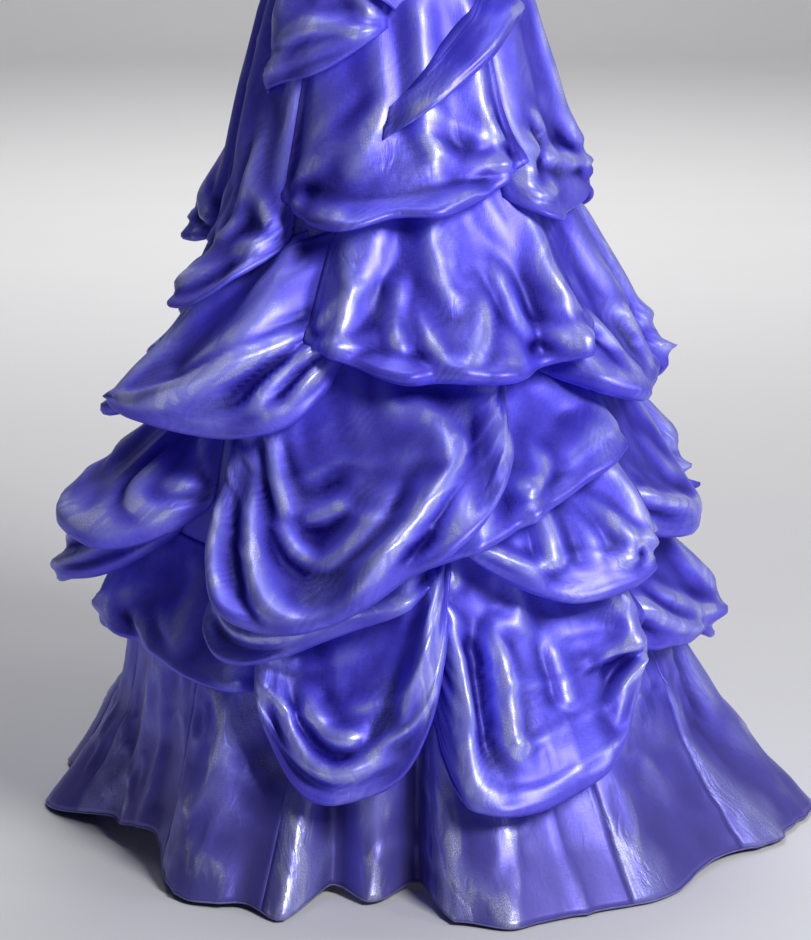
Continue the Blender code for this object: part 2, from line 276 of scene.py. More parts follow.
@dataclass(frozen=True)
class Organza:
    """Shot organza: fine slubby threads, patches of crisp crumples and painted sheen, painted shade in deep
    valleys, painted glints on crests.
    """

    name: str
    # deep to pale: random tone, plus painted shade in valleys (deep) and painted light on crests (pale).
    deep: Colour = (0.006, 0.002, 0.190, 1.0)
    mid: Colour = (0.126, 0.108, 0.820, 1.0)
    pale: Colour = (0.310, 0.318, 0.940, 1.0)
    # Colour of the painted glint, a whitish highlight on crests.
    painted_glint_colour: Colour = (0.86, 0.88, 1.0, 1.0)
    dusk: Colour = (0.118, 0.104, 0.360, 1.0)
    # Colour of the painted sheen, whitish patches laid at random.
    painted_sheen_colour: Colour = (0.460, 0.480, 1.0, 1.0)
    hem_share: float = 0.0
    hem_low: float = -1.06
    hem_high: float = -0.82
    metallic: float = 0.42
    rough: float = 0.45
    specular: float = 0.3
    sheen: float = 0.06
    sheen_rough: float = 0.35
    sheen_tint: Colour = (0.66, 0.68, 1.0, 1.0)
    coat: float = 0.05
    coat_rough: float = 0.24
    crumple: float = 0.22
    crumple_depth: float = 0.0030
    small_depth: float = 0.0012
    thread_depth: float = 0.0005
    thread_bump: float = 0.3
    # Share of the painted glint on crests.
    painted_glint_share: float = 0.6
    # Share of the painted sheen in its patches.
    painted_sheen_share: float = 0.26
    # How strongly the crest attribute paints shade into valleys and light onto crests.
    crest_painted_shading: float = 0.95
    broad: Grain = Grain(9.0, 6.0, 3.0, 0.8)
    threads: Grain = Grain(900.0, 110.0)
    weft: Grain = Grain(90.0, 700.0, 1.0)
    streaks: Grain = Grain(46.0, 16.0, 2.0, 0.6)
    flecks: Grain = Grain(820.0, 620.0, 1.0)
    patches: Grain = Grain(8.0, 6.0, 1.0, 0.4)
    wrinkles: Grain = Grain(34.0, 15.0, 3.0, 1.4)
    small: Grain = Grain(130.0, 55.0, 2.0, 0.8)
    moire_scale: float = 34.0
    moire_sway: float = 26.0

    def make(self) -> bpy.types.Material:
        """Build the material.

        Returns:
            The finished material.
        """
        bench = Bench(self.name)
        crest = bench.node("ShaderNodeAttribute", {"attribute_name": "crest"}, result="Fac")
        grain = bench.noise(self.threads) * 0.55 + bench.noise(self.weft) * 0.45
        fleck = bench.noise(self.flecks).step(0.46, 0.60)
        patch = bench.noise(self.patches).step(0.46, 0.66)
        # Painted sheen: whitish flecked patches laid at random.
        painted_sheen_mask = patch * (fleck * 0.6 + 0.4) * self.painted_sheen_share
        body = bench.mix(painted_sheen_mask, self.body(bench, crest, grain), self.painted_sheen_colour)
        # Painted glint: whitish streaks and flecks laid on the crests.
        painted_glint_mask = crest.step(0.66, 0.92) * bench.noise(self.streaks).step(0.42, 0.62) * (fleck * 0.75 + 0.25)
        gloss = (grain - 0.5) * 0.25 - painted_glint_mask * 0.12 - (crest - 0.5) * 0.06 + self.rough
        sockets = {
            # Base colour with the painted glint mixed in.
            "Base Color": bench.mix((painted_glint_mask * self.painted_glint_share).clamp(), body, self.painted_glint_colour),
            "Roughness": gloss.clamp(),
            "Metallic": self.metallic,
            "Specular IOR Level": self.specular,
            "Sheen Weight": self.sheen,
            "Sheen Roughness": self.sheen_rough,
            "Sheen Tint": self.sheen_tint,
            "Coat Weight": self.coat,
            "Coat Roughness": self.coat_rough,
            "Normal": self.relief(bench, grain, patch),
        }
        return bench.finish(sockets)

    def body(self, bench: Bench, crest: Value, grain: Value) -> Value:
        """Colour of the cloth before its painted sheen and glints, with painted shade in valleys and painted
        light on crests.

        Args:
            bench: The material's bench.
            crest: How far the point stands up from the cloth round it.
            grain: The threads.

        Returns:
            The colour, duller near the hem.
        """
        broad = bench.noise(self.broad)
        waves = {"Vector": bench.surface(), "Scale": self.moire_scale, "Distortion": self.moire_sway}
        bands = {"wave_type": "BANDS", "bands_direction": "DIAGONAL"}
        ripple = bench.node("ShaderNodeTexWave", bands, waves | {"Detail": 2.0, "Detail Scale": 0.35}, "Fac")
        moire = (ripple - 0.5) * broad.step(0.42, 0.62)
        # Random tone plus painted shade in valleys and painted light on crests, from the crest attribute.
        tone_and_painted_shading = (broad - 0.5) * 0.5 + (crest - 0.5) * self.crest_painted_shading
        tone_and_painted_shading = tone_and_painted_shading + (grain - 0.5) * 0.4 + moire * 0.12 + 0.50
        lower = bench.mix((tone_and_painted_shading * 2.0).clamp(), self.deep, self.mid)
        body = bench.mix((tone_and_painted_shading * 2.0 - 1.0).clamp(), lower, self.pale)
        place = bench.node("ShaderNodeTexCoord", result="Object")
        height = bench.node("ShaderNodeSeparateXYZ", None, {0: place}, "Z")
        return bench.mix((1.0 - height.step(self.hem_low, self.hem_high)) * self.hem_share, body, self.dusk)

    def relief(self, bench: Bench, grain: Value, patch: Value) -> Value:
        """Crisp wrinkles, small crumples and threads, as bumps over one another.

        Args:
            bench: The material's bench.
            grain: The threads.
            patch: Where the crumples are crisp.

        Returns:
            The bumped normal.
        """
        crisp = (1.0 - (bench.noise(self.wrinkles) * 4.0 - 2.0) ** 2.0).clamp() * (patch * 0.85 + 0.15)
        small = bench.noise(self.small) * (patch * 0.7 + 0.3)
        normal = bench.bump(crisp, self.crumple_depth, self.crumple)
        normal = bench.bump(small, self.small_depth, self.crumple, normal)
        return bench.bump(grain, self.thread_depth, self.thread_bump, normal)


@dataclass(frozen=True)
class Tape:
    """Matt woven zip tape."""

    name: str
    colour: Colour = (0.045, 0.035, 0.36, 1.0)
    ribs: float = 300.0
    rib_depth: float = 0.0004
    shade: float = 0.7

    def make(self) -> bpy.types.Material:
        """Build the material.

        Returns:
            The finished material.
        """
        bench = Bench(self.name)
        waves = {"Vector": bench.surface(), "Scale": self.ribs, "Distortion": 0.4}
        rib = bench.node("ShaderNodeTexWave", {"bands_direction": "Y"}, waves, "Fac")
        darker = tuple(self.shade * c for c in self.colour[:3]) + (1.0,)
        sockets = {
            "Base Color": bench.mix(rib, darker, self.colour),
            "Roughness": rib * 0.1 + 0.5,
            "Normal": bench.bump(rib, self.rib_depth, 0.5),
        }
        return bench.finish(sockets)


@dataclass(frozen=True)
class Floor:
    """Plain pale studio floor."""

    name: str = "studio_floor"
    colour: Colour = (0.70, 0.70, 0.71, 1.0)
    rough: float = 0.85
    specks: Grain = Grain(3.0, 3.0, 4.0, 0.0, 3.0)

    def make(self) -> bpy.types.Material:
        """Build the material.

        Returns:
            The finished material.
        """
        bench = Bench(self.name)
        speck = bench.noise(self.specks, "Object")
        lighter = tuple(min(1.0, 1.04 * c) for c in self.colour[:3]) + (1.0,)
        return bench.finish({"Base Color": bench.mix(speck, self.colour, lighter), "Roughness": self.rough})


def smooth(x: np.ndarray | float) -> np.ndarray:
    """Ease from 0 to 1."""
    t = np.clip(x, 0.0, 1.0)
    return t * t * (3.0 - 2.0 * t)


def eased_ends(share: np.ndarray, reach: float) -> np.ndarray:
    """Ease from 0 at both ends of a run of shares to 1 within the reach."""
    return smooth(share / reach) * smooth((1.0 - share) / reach)


def off_front(angle: np.ndarray) -> np.ndarray:
    """Degrees away from centre front, 0 to 180."""
    return np.abs((angle + 180.0) % 360.0 - 180.0)


def neighbours(grid: np.ndarray, reach: int = 1) -> list[np.ndarray]:
    """Values round each point of a grid, its edges repeated.

    Args:
        grid: Values or points by column and row.
        reach: Columns and rows away.

    Returns:
        The grids of the columns before and after, and of the rows before and after.
    """
    ring = np.pad(grid, [(reach, reach)] * 2 + [(0, 0)] * (grid.ndim - 2), mode="edge")
    inner = slice(reach, -reach)
    before, after = slice(None, -2 * reach), slice(2 * reach, None)
    return [ring[before, inner], ring[after, inner], ring[inner, before], ring[inner, after]]


def blend(
    grid: np.ndarray,
    columns: tuple[np.ndarray, np.ndarray],
    rows: tuple[np.ndarray, np.ndarray],
    s: np.ndarray,
    t: np.ndarray,
) -> np.ndarray:
    """Read a grid between its points.

    Args:
        grid: The values.
        columns: Column before and column after.
        rows: Row before and row after.
        s: Share of the column after.
        t: Share of the row after.

    Returns:
        The values there.
    """
    low = grid[columns[0], rows[0]] * (1 - s) + grid[columns[1], rows[0]] * s
    high = grid[columns[0], rows[1]] * (1 - s) + grid[columns[1], rows[1]] * s
    return low * (1 - t) + high * t


def add_object(name: str, data: bpy.types.ID) -> bpy.types.Object:
    """Put a new object in the scene.

    Args:
        name: The object's name.
        data: Its mesh, curve, light or camera.

    Returns:
        The object.
    """
    item = bpy.data.objects.new(name, data)
    bpy.context.scene.collection.objects.link(item)
    return item


def write_crests(mesh: bpy.types.Mesh, shares: np.ndarray) -> None:
    """Store how far each point of a mesh stands up, which its finish reads to paint shade in valleys and
    light and glints on crests.

    Args:
        mesh: The mesh.
        shares: Values from 0 in a valley to 1 on a crest.
    """
    crests = mesh.attributes.new("crest", "FLOAT", "POINT")
    crests.data.foreach_set("value", shares.reshape(-1).astype(np.float32))


@dataclass(frozen=True)
class Section:
    """Half width and half depth of the figure at a height above the hem."""

    height: float
    half_width: float
    half_depth: float


@dataclass(frozen=True)
class Figure:
    """General figure that the cloth stands out from."""

    sections: tuple[Section, ...] = (
        Section(0.00, 0.400, 0.395),
        Section(0.06, 0.366, 0.355),
        Section(0.13, 0.334, 0.322),
        Section(0.20, 0.316, 0.303),
        Section(0.30, 0.300, 0.285),
        Section(0.40, 0.282, 0.265),
        Section(0.50, 0.254, 0.236),
        Section(0.60, 0.224, 0.204),
        Section(0.69, 0.196, 0.176),
        Section(0.78, 0.174, 0.152),
        Section(0.87, 0.158, 0.135),
        Section(0.92, 0.150, 0.126),
        Section(0.97, 0.142, 0.116),
        Section(1.02, 0.133, 0.105),
        Section(1.07, 0.125, 0.095),
        Section(1.12, 0.127, 0.098),
        Section(1.18, 0.137, 0.106),
        Section(1.24, 0.147, 0.113),
        Section(1.34, 0.150, 0.110),
    )

    def radii(self, height: np.ndarray) -> tuple[np.ndarray, np.ndarray]:
        """Half width and half depth at heights.

        Args:
            height: Heights above the hem.

        Returns:
            Half widths and half depths.
        """
        heights = [row.height for row in self.sections]
        return (
            np.interp(height, heights, [row.half_width for row in self.sections]),
            np.interp(height, heights, [row.half_depth for row in self.sections]),
        )

    def place(self, angle: np.ndarray, height: np.ndarray, out: np.ndarray) -> np.ndarray:
        """Points at angles and heights, standing out from the figure.

        Args:
            angle: Degrees round the body.
            height: Heights above the hem.
            out: Distance out from the figure.

        Returns:
            Points in the frame.
        """
        half_width, half_depth = self.radii(height)
        turn = np.radians(angle)
        x = (half_width + out) * np.sin(turn)
        y = -(half_depth + out) * np.cos(turn)
        return np.stack(np.broadcast_arrays(x, y, height - WAIST_TO_HEM), axis=-1)

    def read(self, points: np.ndarray) -> tuple[np.ndarray, np.ndarray, np.ndarray]:
        """Angles, heights and distances out of points, the reverse of place.

        Args:
            points: Points in the frame.

        Returns:
            Degrees round the body, heights above the hem and distances out.
        """
        height = points[..., 2] + WAIST_TO_HEM
        half_width, half_depth = self.radii(height)
        x, y = points[..., 0], -points[..., 1]
        turn = np.arctan2(x, y)
        out = np.zeros_like(turn)
        for _ in range(6):
            sine, cosine = np.sin(turn), np.cos(turn)
            sideways = np.abs(sine) > np.abs(cosine)
            out = np.where(
                sideways,
                x / np.where(sideways, sine, 1.0) - half_width,
                y / np.where(sideways, 1.0, cosine) - half_depth,
            )
            turn = np.arctan2(x / (half_width + out), y / (half_depth + out))
        return np.degrees(turn), height, out


def shifted(grid: np.ndarray, steps: int) -> np.ndarray:
    """A grid moved along its height, its edge rows held."""
    return grid[:, np.clip(np.arange(grid.shape[1]) + steps, 0, grid.shape[1] - 1)]


@dataclass
class Relief:
    """How far out the cloth laid so far reaches, by angle and height."""

    figure: Figure
    step_angle: float = 1.5
    step_height: float = 0.006
    spread_angle: float = 5.0
    spread_height: float = 0.026
    start: float = 0.4
    margin_angle: float = 6.0
    angles: np.ndarray = field(init=False)
    heights: np.ndarray = field(init=False)
    out: np.ndarray = field(init=False)

    def __post_init__(self) -> None:
        """Start with a bare figure."""
        self.angles = np.arange(0.0, 360.0, self.step_angle)
        self.heights = np.arange(-0.03, 1.40, self.step_height)
        self.out = np.zeros((len(self.angles), len(self.heights)))

    def add(self, points: np.ndarray) -> None:
        """Record a sheet that has just been laid.

        Args:
            points: The sheet's grid of points.
        """
        columns, rows = points.shape[:2]
        faces = [
            (i * rows + j, i * rows + j + 1, (i + 1) * rows + j + 1, (i + 1) * rows + j)
            for i in range(columns - 1)
            for j in range(rows - 1)
        ]
        tree = BVHTree.FromPolygons([Vector(p) for p in points.reshape(-1, 3)], faces)
        low = points[..., 2].min() + WAIST_TO_HEM
        high = points[..., 2].max() + WAIST_TO_HEM
        seen = np.degrees(np.arctan2(points[..., 0], -points[..., 1]))
        middle = math.degrees(math.atan2(points[..., 0].mean(), -points[..., 1].mean()))
        near = off_front(self.angles - middle) <= off_front(seen - middle).max() + self.margin_angle
        rows_near = np.flatnonzero((self.heights >= low) & (self.heights <= high))
        starts = self.figure.place(self.angles[:, None], self.heights[None, rows_near], self.start)
        for i in np.flatnonzero(near):
            turn = math.radians(self.angles[i])
            inward = Vector((-math.sin(turn), math.cos(turn), 0.0))
            for k, j in enumerate(rows_near):
                hit = tree.ray_cast(Vector(starts[i, k]), inward, self.start + 0.02)
                if hit[0] is not None:
                    self.out[i, j] = max(self.out[i, j], self.start - hit[3])

    def spread(self) -> np.ndarray:
        """The relief widened by the spread and evened out over the same spread.

        Returns:
            Distances out, by angle and height.
        """
        side = max(1, round(self.spread_angle / self.step_angle))
        tall = max(1, round(self.spread_height / self.step_height))
        across, along = range(-side, side + 1), range(-tall, tall + 1)
        wide = np.maximum.reduce([np.roll(self.out, k, axis=0) for k in across])
        wide = np.maximum.reduce([shifted(wide, k) for k in along])
        even = sum(np.roll(wide, k, axis=0) for k in across) / len(across)
        return sum(shifted(even, k) for k in along) / len(along)

    def sample(self, grid: np.ndarray, angle: np.ndarray, height: np.ndarray) -> np.ndarray:
        """Read a relief grid between its points.

        Args:
            grid: Values by angle and height.
            angle: Degrees round the body.
            height: Heights above the hem.

        Returns:
            The values there.
        """
        a = (np.asarray(angle) % 360.0) / self.step_angle
        h = np.clip((height - self.heights[0]) / self.step_height, 0, len(self.heights) - 1.001)
        i, j = np.floor(a).astype(int), np.floor(h).astype(int)
        s, t = a - i, h - j
        return blend(grid, (i % len(self.angles), (i + 1) % len(self.angles)), (j, j + 1), s, t)


@dataclass(frozen=True)
class Crumple:
    """Seeded wavering of the cloth, soft or creased."""

    seed: int
    size: int = 48

    def soft(self, x: np.ndarray, y: np.ndarray, turn: int = 0) -> np.ndarray:
        """Smooth noise.

        Args:
            x: First coordinate, one unit to a wave.
            y: Second coordinate.
            turn: Which of several unlike fields to read.

        Returns:
            Values from -1 to 1.
        """
        grid = np.random.default_rng(self.seed * 31 + turn).uniform(-1.0, 1.0, (self.size, self.size))
        i, j = np.floor(x).astype(int), np.floor(y).astype(int)
        s, t = smooth(x - i), smooth(y - j)
        columns = (i % self.size, (i + 1) % self.size)
        rows = (j % self.size, (j + 1) % self.size)
        return blend(grid, columns, rows, s, t)

    def creased(self, x: np.ndarray, y: np.ndarray, turn: int = 0) -> np.ndarray:
        """Noise with narrow crests, as crisp cloth takes.

        Args:
            x: First coordinate, one unit to a wave.
            y: Second coordinate.
            turn: Which of several unlike fields to read.

        Returns:
            Values from 0 to 1.
        """
        return (1.0 - np.abs(self.soft(x, y, turn))) ** 3


def arc_lengths(points: np.ndarray) -> tuple[float, float]:
    """Longest lengths of a grid of points along its two ways.

    Args:
        points: The grid.

    Returns:
        Width across the columns and length down the rows.
    """
    across = np.linalg.norm(np.diff(points, axis=0), axis=2).sum(axis=0)
    down = np.linalg.norm(np.diff(points, axis=1), axis=2).sum(axis=1)
    return float(across.max()), float(down.max())


def cloth_area(points: np.ndarray) -> float:
    """Area of a grid of points.

    Args:
        points: The grid.

    Returns:
        Square metres.
    """
    a = points[1:, 1:] - points[:-1, :-1]
    b = points[1:, :-1] - points[:-1, 1:]
    return float(np.linalg.norm(np.cross(a, b), axis=2).sum() / 2.0)


def grid_mesh(name: str, points: np.ndarray) -> bpy.types.Mesh:
    """A mesh of a grid moved to the points, with a UV map in metres and facing outwards.

    Args:
        name: The mesh's name.
        points: Points by column and row.

    Returns:
        The mesh, whose vertices run down each column in turn.
    """
    columns, rows = points.shape[:2]
    sheet = bmesh.new()
    bmesh.ops.create_grid(sheet, x_segments=rows - 1, y_segments=columns - 1, size=0.5)
    run = np.zeros((columns, rows))
    fall = np.zeros((columns, rows))
    run[1:] = np.cumsum(np.linalg.norm(np.diff(points, axis=0), axis=2), axis=0)
    fall[:, 1:] = np.cumsum(np.linalg.norm(np.diff(points, axis=1), axis=2), axis=1)
    run -= run[-1:] * 0.5
    layer = sheet.loops.layers.uv.new("UVMap")
    for vert in sheet.verts:
        i = round((vert.co.y + 0.5) * (columns - 1))
        j = round((vert.co.x + 0.5) * (rows - 1))
        vert.co = Vector(points[i, j])
        vert.index = i * rows + j
        for loop in vert.link_loops:
            loop[layer].uv = (run[i, j], fall[i, j])
    sheet.verts.sort()
    if outward_share(sheet) < 0.0:
        bmesh.ops.reverse_faces(sheet, faces=sheet.faces)
    mesh = bpy.data.meshes.new(name)
    sheet.to_mesh(mesh)
    sheet.free()
    return mesh


def crest_shares(points: np.ndarray, reach: int = 4, sharp: float = 0.0050) -> np.ndarray:
    """How far each point stands up from the cloth round it.

    Args:
        points: Points by column and row.
        reach: Columns and rows to each side that it is set against.
        sharp: Height in metres that counts as a full crest.

    Returns:
        Values from 0 in a valley to 1 on a crest.
    """
    before, after, above, below = neighbours(points, reach)
    normal = np.cross(after - before, below - above)
    normal /= np.maximum(np.linalg.norm(normal, axis=2, keepdims=True), 1e-12)
    outward = np.sign((normal[..., :2] * points[..., :2]).sum())
    ring = after + before + below + above
    height = ((points - ring / 4.0) * normal).sum(axis=2) * outward
    return np.clip(0.5 + 0.5 * height / sharp, 0.0, 1.0)


@dataclass
class ClothPiece:
    """One sheet of cloth made from a grid of points."""

    name: str
    points: np.ndarray
    slot: Slot
    hang: Hang
    rests_on: tuple[str, ...]
    wall: float = 0.0007
    rolled_rows: int = 0
    roll_fade: float = 5.0

    def build(self, finish: bpy.types.Material) -> bpy.types.Object:
        """Args:
            finish: The cloth's material.

        Returns:
            The piece.
        """
        width, length = arc_lengths(self.points)
        mesh = grid_mesh(self.name, self.points)
        shares = crest_shares(self.points)
        # Rolled rows are eased to a middling crest share, so no painted shade or glint runs along the rolled
        # edge.
        if self.rolled_rows:
            past = np.arange(shares.shape[1]) - shares.shape[1] + self.rolled_rows + self.roll_fade
            rolled = smooth(past / self.roll_fade)
            shares = shares + (0.5 - shares) * rolled[None, :]
        write_crests(mesh, shares)
        mesh.shade_smooth()
        mesh.materials.append(finish)
        piece = add_object(self.name + "_cloth", mesh)
        thick = piece.modifiers.new("wall", "SOLIDIFY")
        thick.thickness = self.wall
        thick.offset = 0.0
        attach(piece, "root")
        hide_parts(self.name)
        area = min(cloth_area(self.points), width * length)
        LOG.info("%s: %.2f x %.2f m, %.3f m2", self.name, width, length, area)
        return piece


def outward_share(sheet: bmesh.types.BMesh) -> float:
    """How much of a sheet's upper face looks away from the axis.

    Args:
        sheet: The sheet.

    Returns:
        A sum that is above 0 where most of the face looks outwards.
    """
    total = 0.0
    for face in sheet.faces:
        face.normal_update()
        centre = face.calc_center_median()
        total += (centre.x * face.normal.x + centre.y * face.normal.y) * face.calc_area()
    return total


@dataclass(frozen=True)
class Settle:
    """Short cloth settle: a laid sheet grows a little where it is loose and buckles into natural folds."""

    hold: float = 0.02
    grow: float = 0.24
    frames: int = 20
    bending: float = 150.0
    stretch: float = 40.0
    shear: float = 8.0
    mass: float = 0.15
    gravity: float = 0.6
    air: float = 3.0
    steps: int = 4
    farthest: float = 0.060
    levels: int = 40
    evenings: int = 2

    def group(self, piece: bpy.types.Object, name: str, weights: np.ndarray) -> None:
        """Add a vertex group of rounded weights.

        Args:
            piece: The sheet.
            name: The group's name.
            weights: Weights by column and row.
        """
        group = piece.vertex_groups.new(name=name)
        rounded = np.round(weights.reshape(-1) * self.levels)
        for level in range(self.levels + 1):
            chosen = np.flatnonzero(rounded == level)
            if len(chosen):
                group.add(chosen.tolist(), level / self.levels, "REPLACE")

    def run(self, points: np.ndarray, loose: np.ndarray, fuller: np.ndarray) -> np.ndarray:
        """Settle a sheet.

        Args:
            points: Its grid of points.
            loose: Shares, 0 where the cloth is held fast and 1 where it is loosest.
            fuller: Shares of the growth.

        Returns:
            The settled points.
        """
        columns, rows = points.shape[:2]
        mesh = grid_mesh("settling", points)
        piece = add_object("settling", mesh)
        self.group(piece, "held", 1.0 - loose * (1.0 - self.hold))
        self.group(piece, "fuller", fuller * np.ones((columns, rows)))
        cloth = piece.modifiers.new("settle", "CLOTH")
        settings = cloth.settings
        settings.quality = self.steps
        settings.mass = self.mass
        settings.tension_stiffness = self.stretch
        settings.compression_stiffness = self.stretch
        settings.shear_stiffness = self.shear
        settings.bending_stiffness = self.bending
        settings.air_damping = self.air
        settings.vertex_group_mass = "held"
        settings.pin_stiffness = 1.0
        settings.vertex_group_shrink = "fuller"
        settings.shrink_min = 0.0
        settings.shrink_max = -self.grow
        settings.effector_weights.gravity = self.gravity
        cloth.collision_settings.use_collision = False
        cloth.collision_settings.use_self_collision = False
        cloth.point_cache.frame_start = 1
        cloth.point_cache.frame_end = self.frames
        scene = bpy.context.scene
        for frame in range(1, self.frames + 1):
            scene.frame_set(frame)
        settled = piece.evaluated_get(bpy.context.evaluated_depsgraph_get())
        places = np.empty(columns * rows * 3, dtype=np.float32)
        settled.data.vertices.foreach_get("co", places)
        bpy.data.objects.remove(piece, do_unlink=True)
        bpy.data.meshes.remove(mesh)
        scene.frame_set(1)
        move = places.reshape(columns, rows, 3).astype(float) - points
        for _ in range(self.evenings):
            move = move + (sum(neighbours(move)) / 4.0 - move) * 0.5 * loose[..., None]
        size = np.linalg.norm(move, axis=2, keepdims=True)
        return points + move * np.minimum(1.0, self.farthest / np.maximum(size, 1e-9))


@dataclass(frozen=True)
class FoldShape:
    """Section of a fold: a narrow crest, a valley on one side and a shallow one opposite, in fold widths."""

    crest_power: float = 1.6
    valley: float = 0.62
    valley_at: float = 1.7
    valley_width: float = 0.8
    far_valley: float = 0.2
    far_at: float = 1.9
    far_width: float = 0.9
    end_ease: float = 0.25

    def rise(self, ratio: np.ndarray) -> np.ndarray:
        """Share of the fold's depth at a place across it.

        Args:
            ratio: Widths from the crest, above 0 on the deeper valley's side.

        Returns:
            Shares, below 0 in the valleys.
        """
        valley = self.valley * np.exp(-(((ratio - self.valley_at) / self.valley_width) ** 2))
        far = self.far_valley * np.exp(-(((ratio + self.far_at) / self.far_width) ** 2))
        return np.exp(-np.abs(ratio) ** self.crest_power) - (valley + far)


FOLD = FoldShape()


@dataclass(frozen=True)
class Crease:
    """One fold placed on a swag: where it starts, where it passes and where it ends.

    Places are shares of the swag. Across runs from its left tack to its right one. Sag is 0 on the straight
    line between the tacks, 1 on the lower edge, and below 0 above that line. A deeper valley lies on the side
    that is below a fold running to the right.
    """

    start: float
    start_sag: float
    middle: float
    middle_sag: float
    end: float
    end_sag: float
    depth: float
    width: float

    def line(self, steps: int = 26) -> tuple[np.ndarray, np.ndarray]:
        """Points of the fold.

        Args:
            steps: Number of points.

        Returns:
            Shares across and sags.
        """
        t = np.linspace(0.0, 1.0, steps)
        near, mid, far = 2 * (t - 0.5) * (t - 1.0), 4 * t * (1.0 - t), 2 * t * (t - 0.5)
        across = near * self.start + mid * self.middle + far * self.end
        return across, near * self.start_sag + mid * self.middle_sag + far * self.end_sag

    def lift(self, run: np.ndarray, height: np.ndarray, line: np.ndarray) -> np.ndarray:
        """How far the fold raises the cloth.

        Args:
            run: Lengths round the body.
            height: Heights above the hem.
            line: Run and height of the fold's points.

        Returns:
            Distances out.
        """
        best = np.full(run.shape, 1e9)
        side = np.zeros(run.shape)
        part = np.zeros(run.shape)
        steps = len(line) - 1
        for k in range(steps):
            ax, ay = line[k]
            bx, by = line[k + 1] - line[k]
            t = np.clip(((run - ax) * bx + (height - ay) * by) / (bx * bx + by * by + 1e-12), 0.0, 1.0)
            gap = np.hypot(run - ax - t * bx, height - ay - t * by)
            closer = gap < best
            best = np.where(closer, gap, best)
            side = np.where(closer, by * (run - ax) - bx * (height - ay), side)
            part = np.where(closer, (k + t) / steps, part)
        ratio = best * np.sign(side) / self.width
        return self.depth * FOLD.rise(ratio) * eased_ends(part, FOLD.end_ease)


@dataclass(frozen=True)
class SwagCut:
    """A swag: its tacked corners, lowest point, top edge, puff and hang."""

    name: str
    left: float
    left_height: float
    right: float
    right_height: float
    low: float
    low_height: float
    top_left: float
    top_right: float
    puff: float
    steep_left: float
    steep_right: float
    folds: int


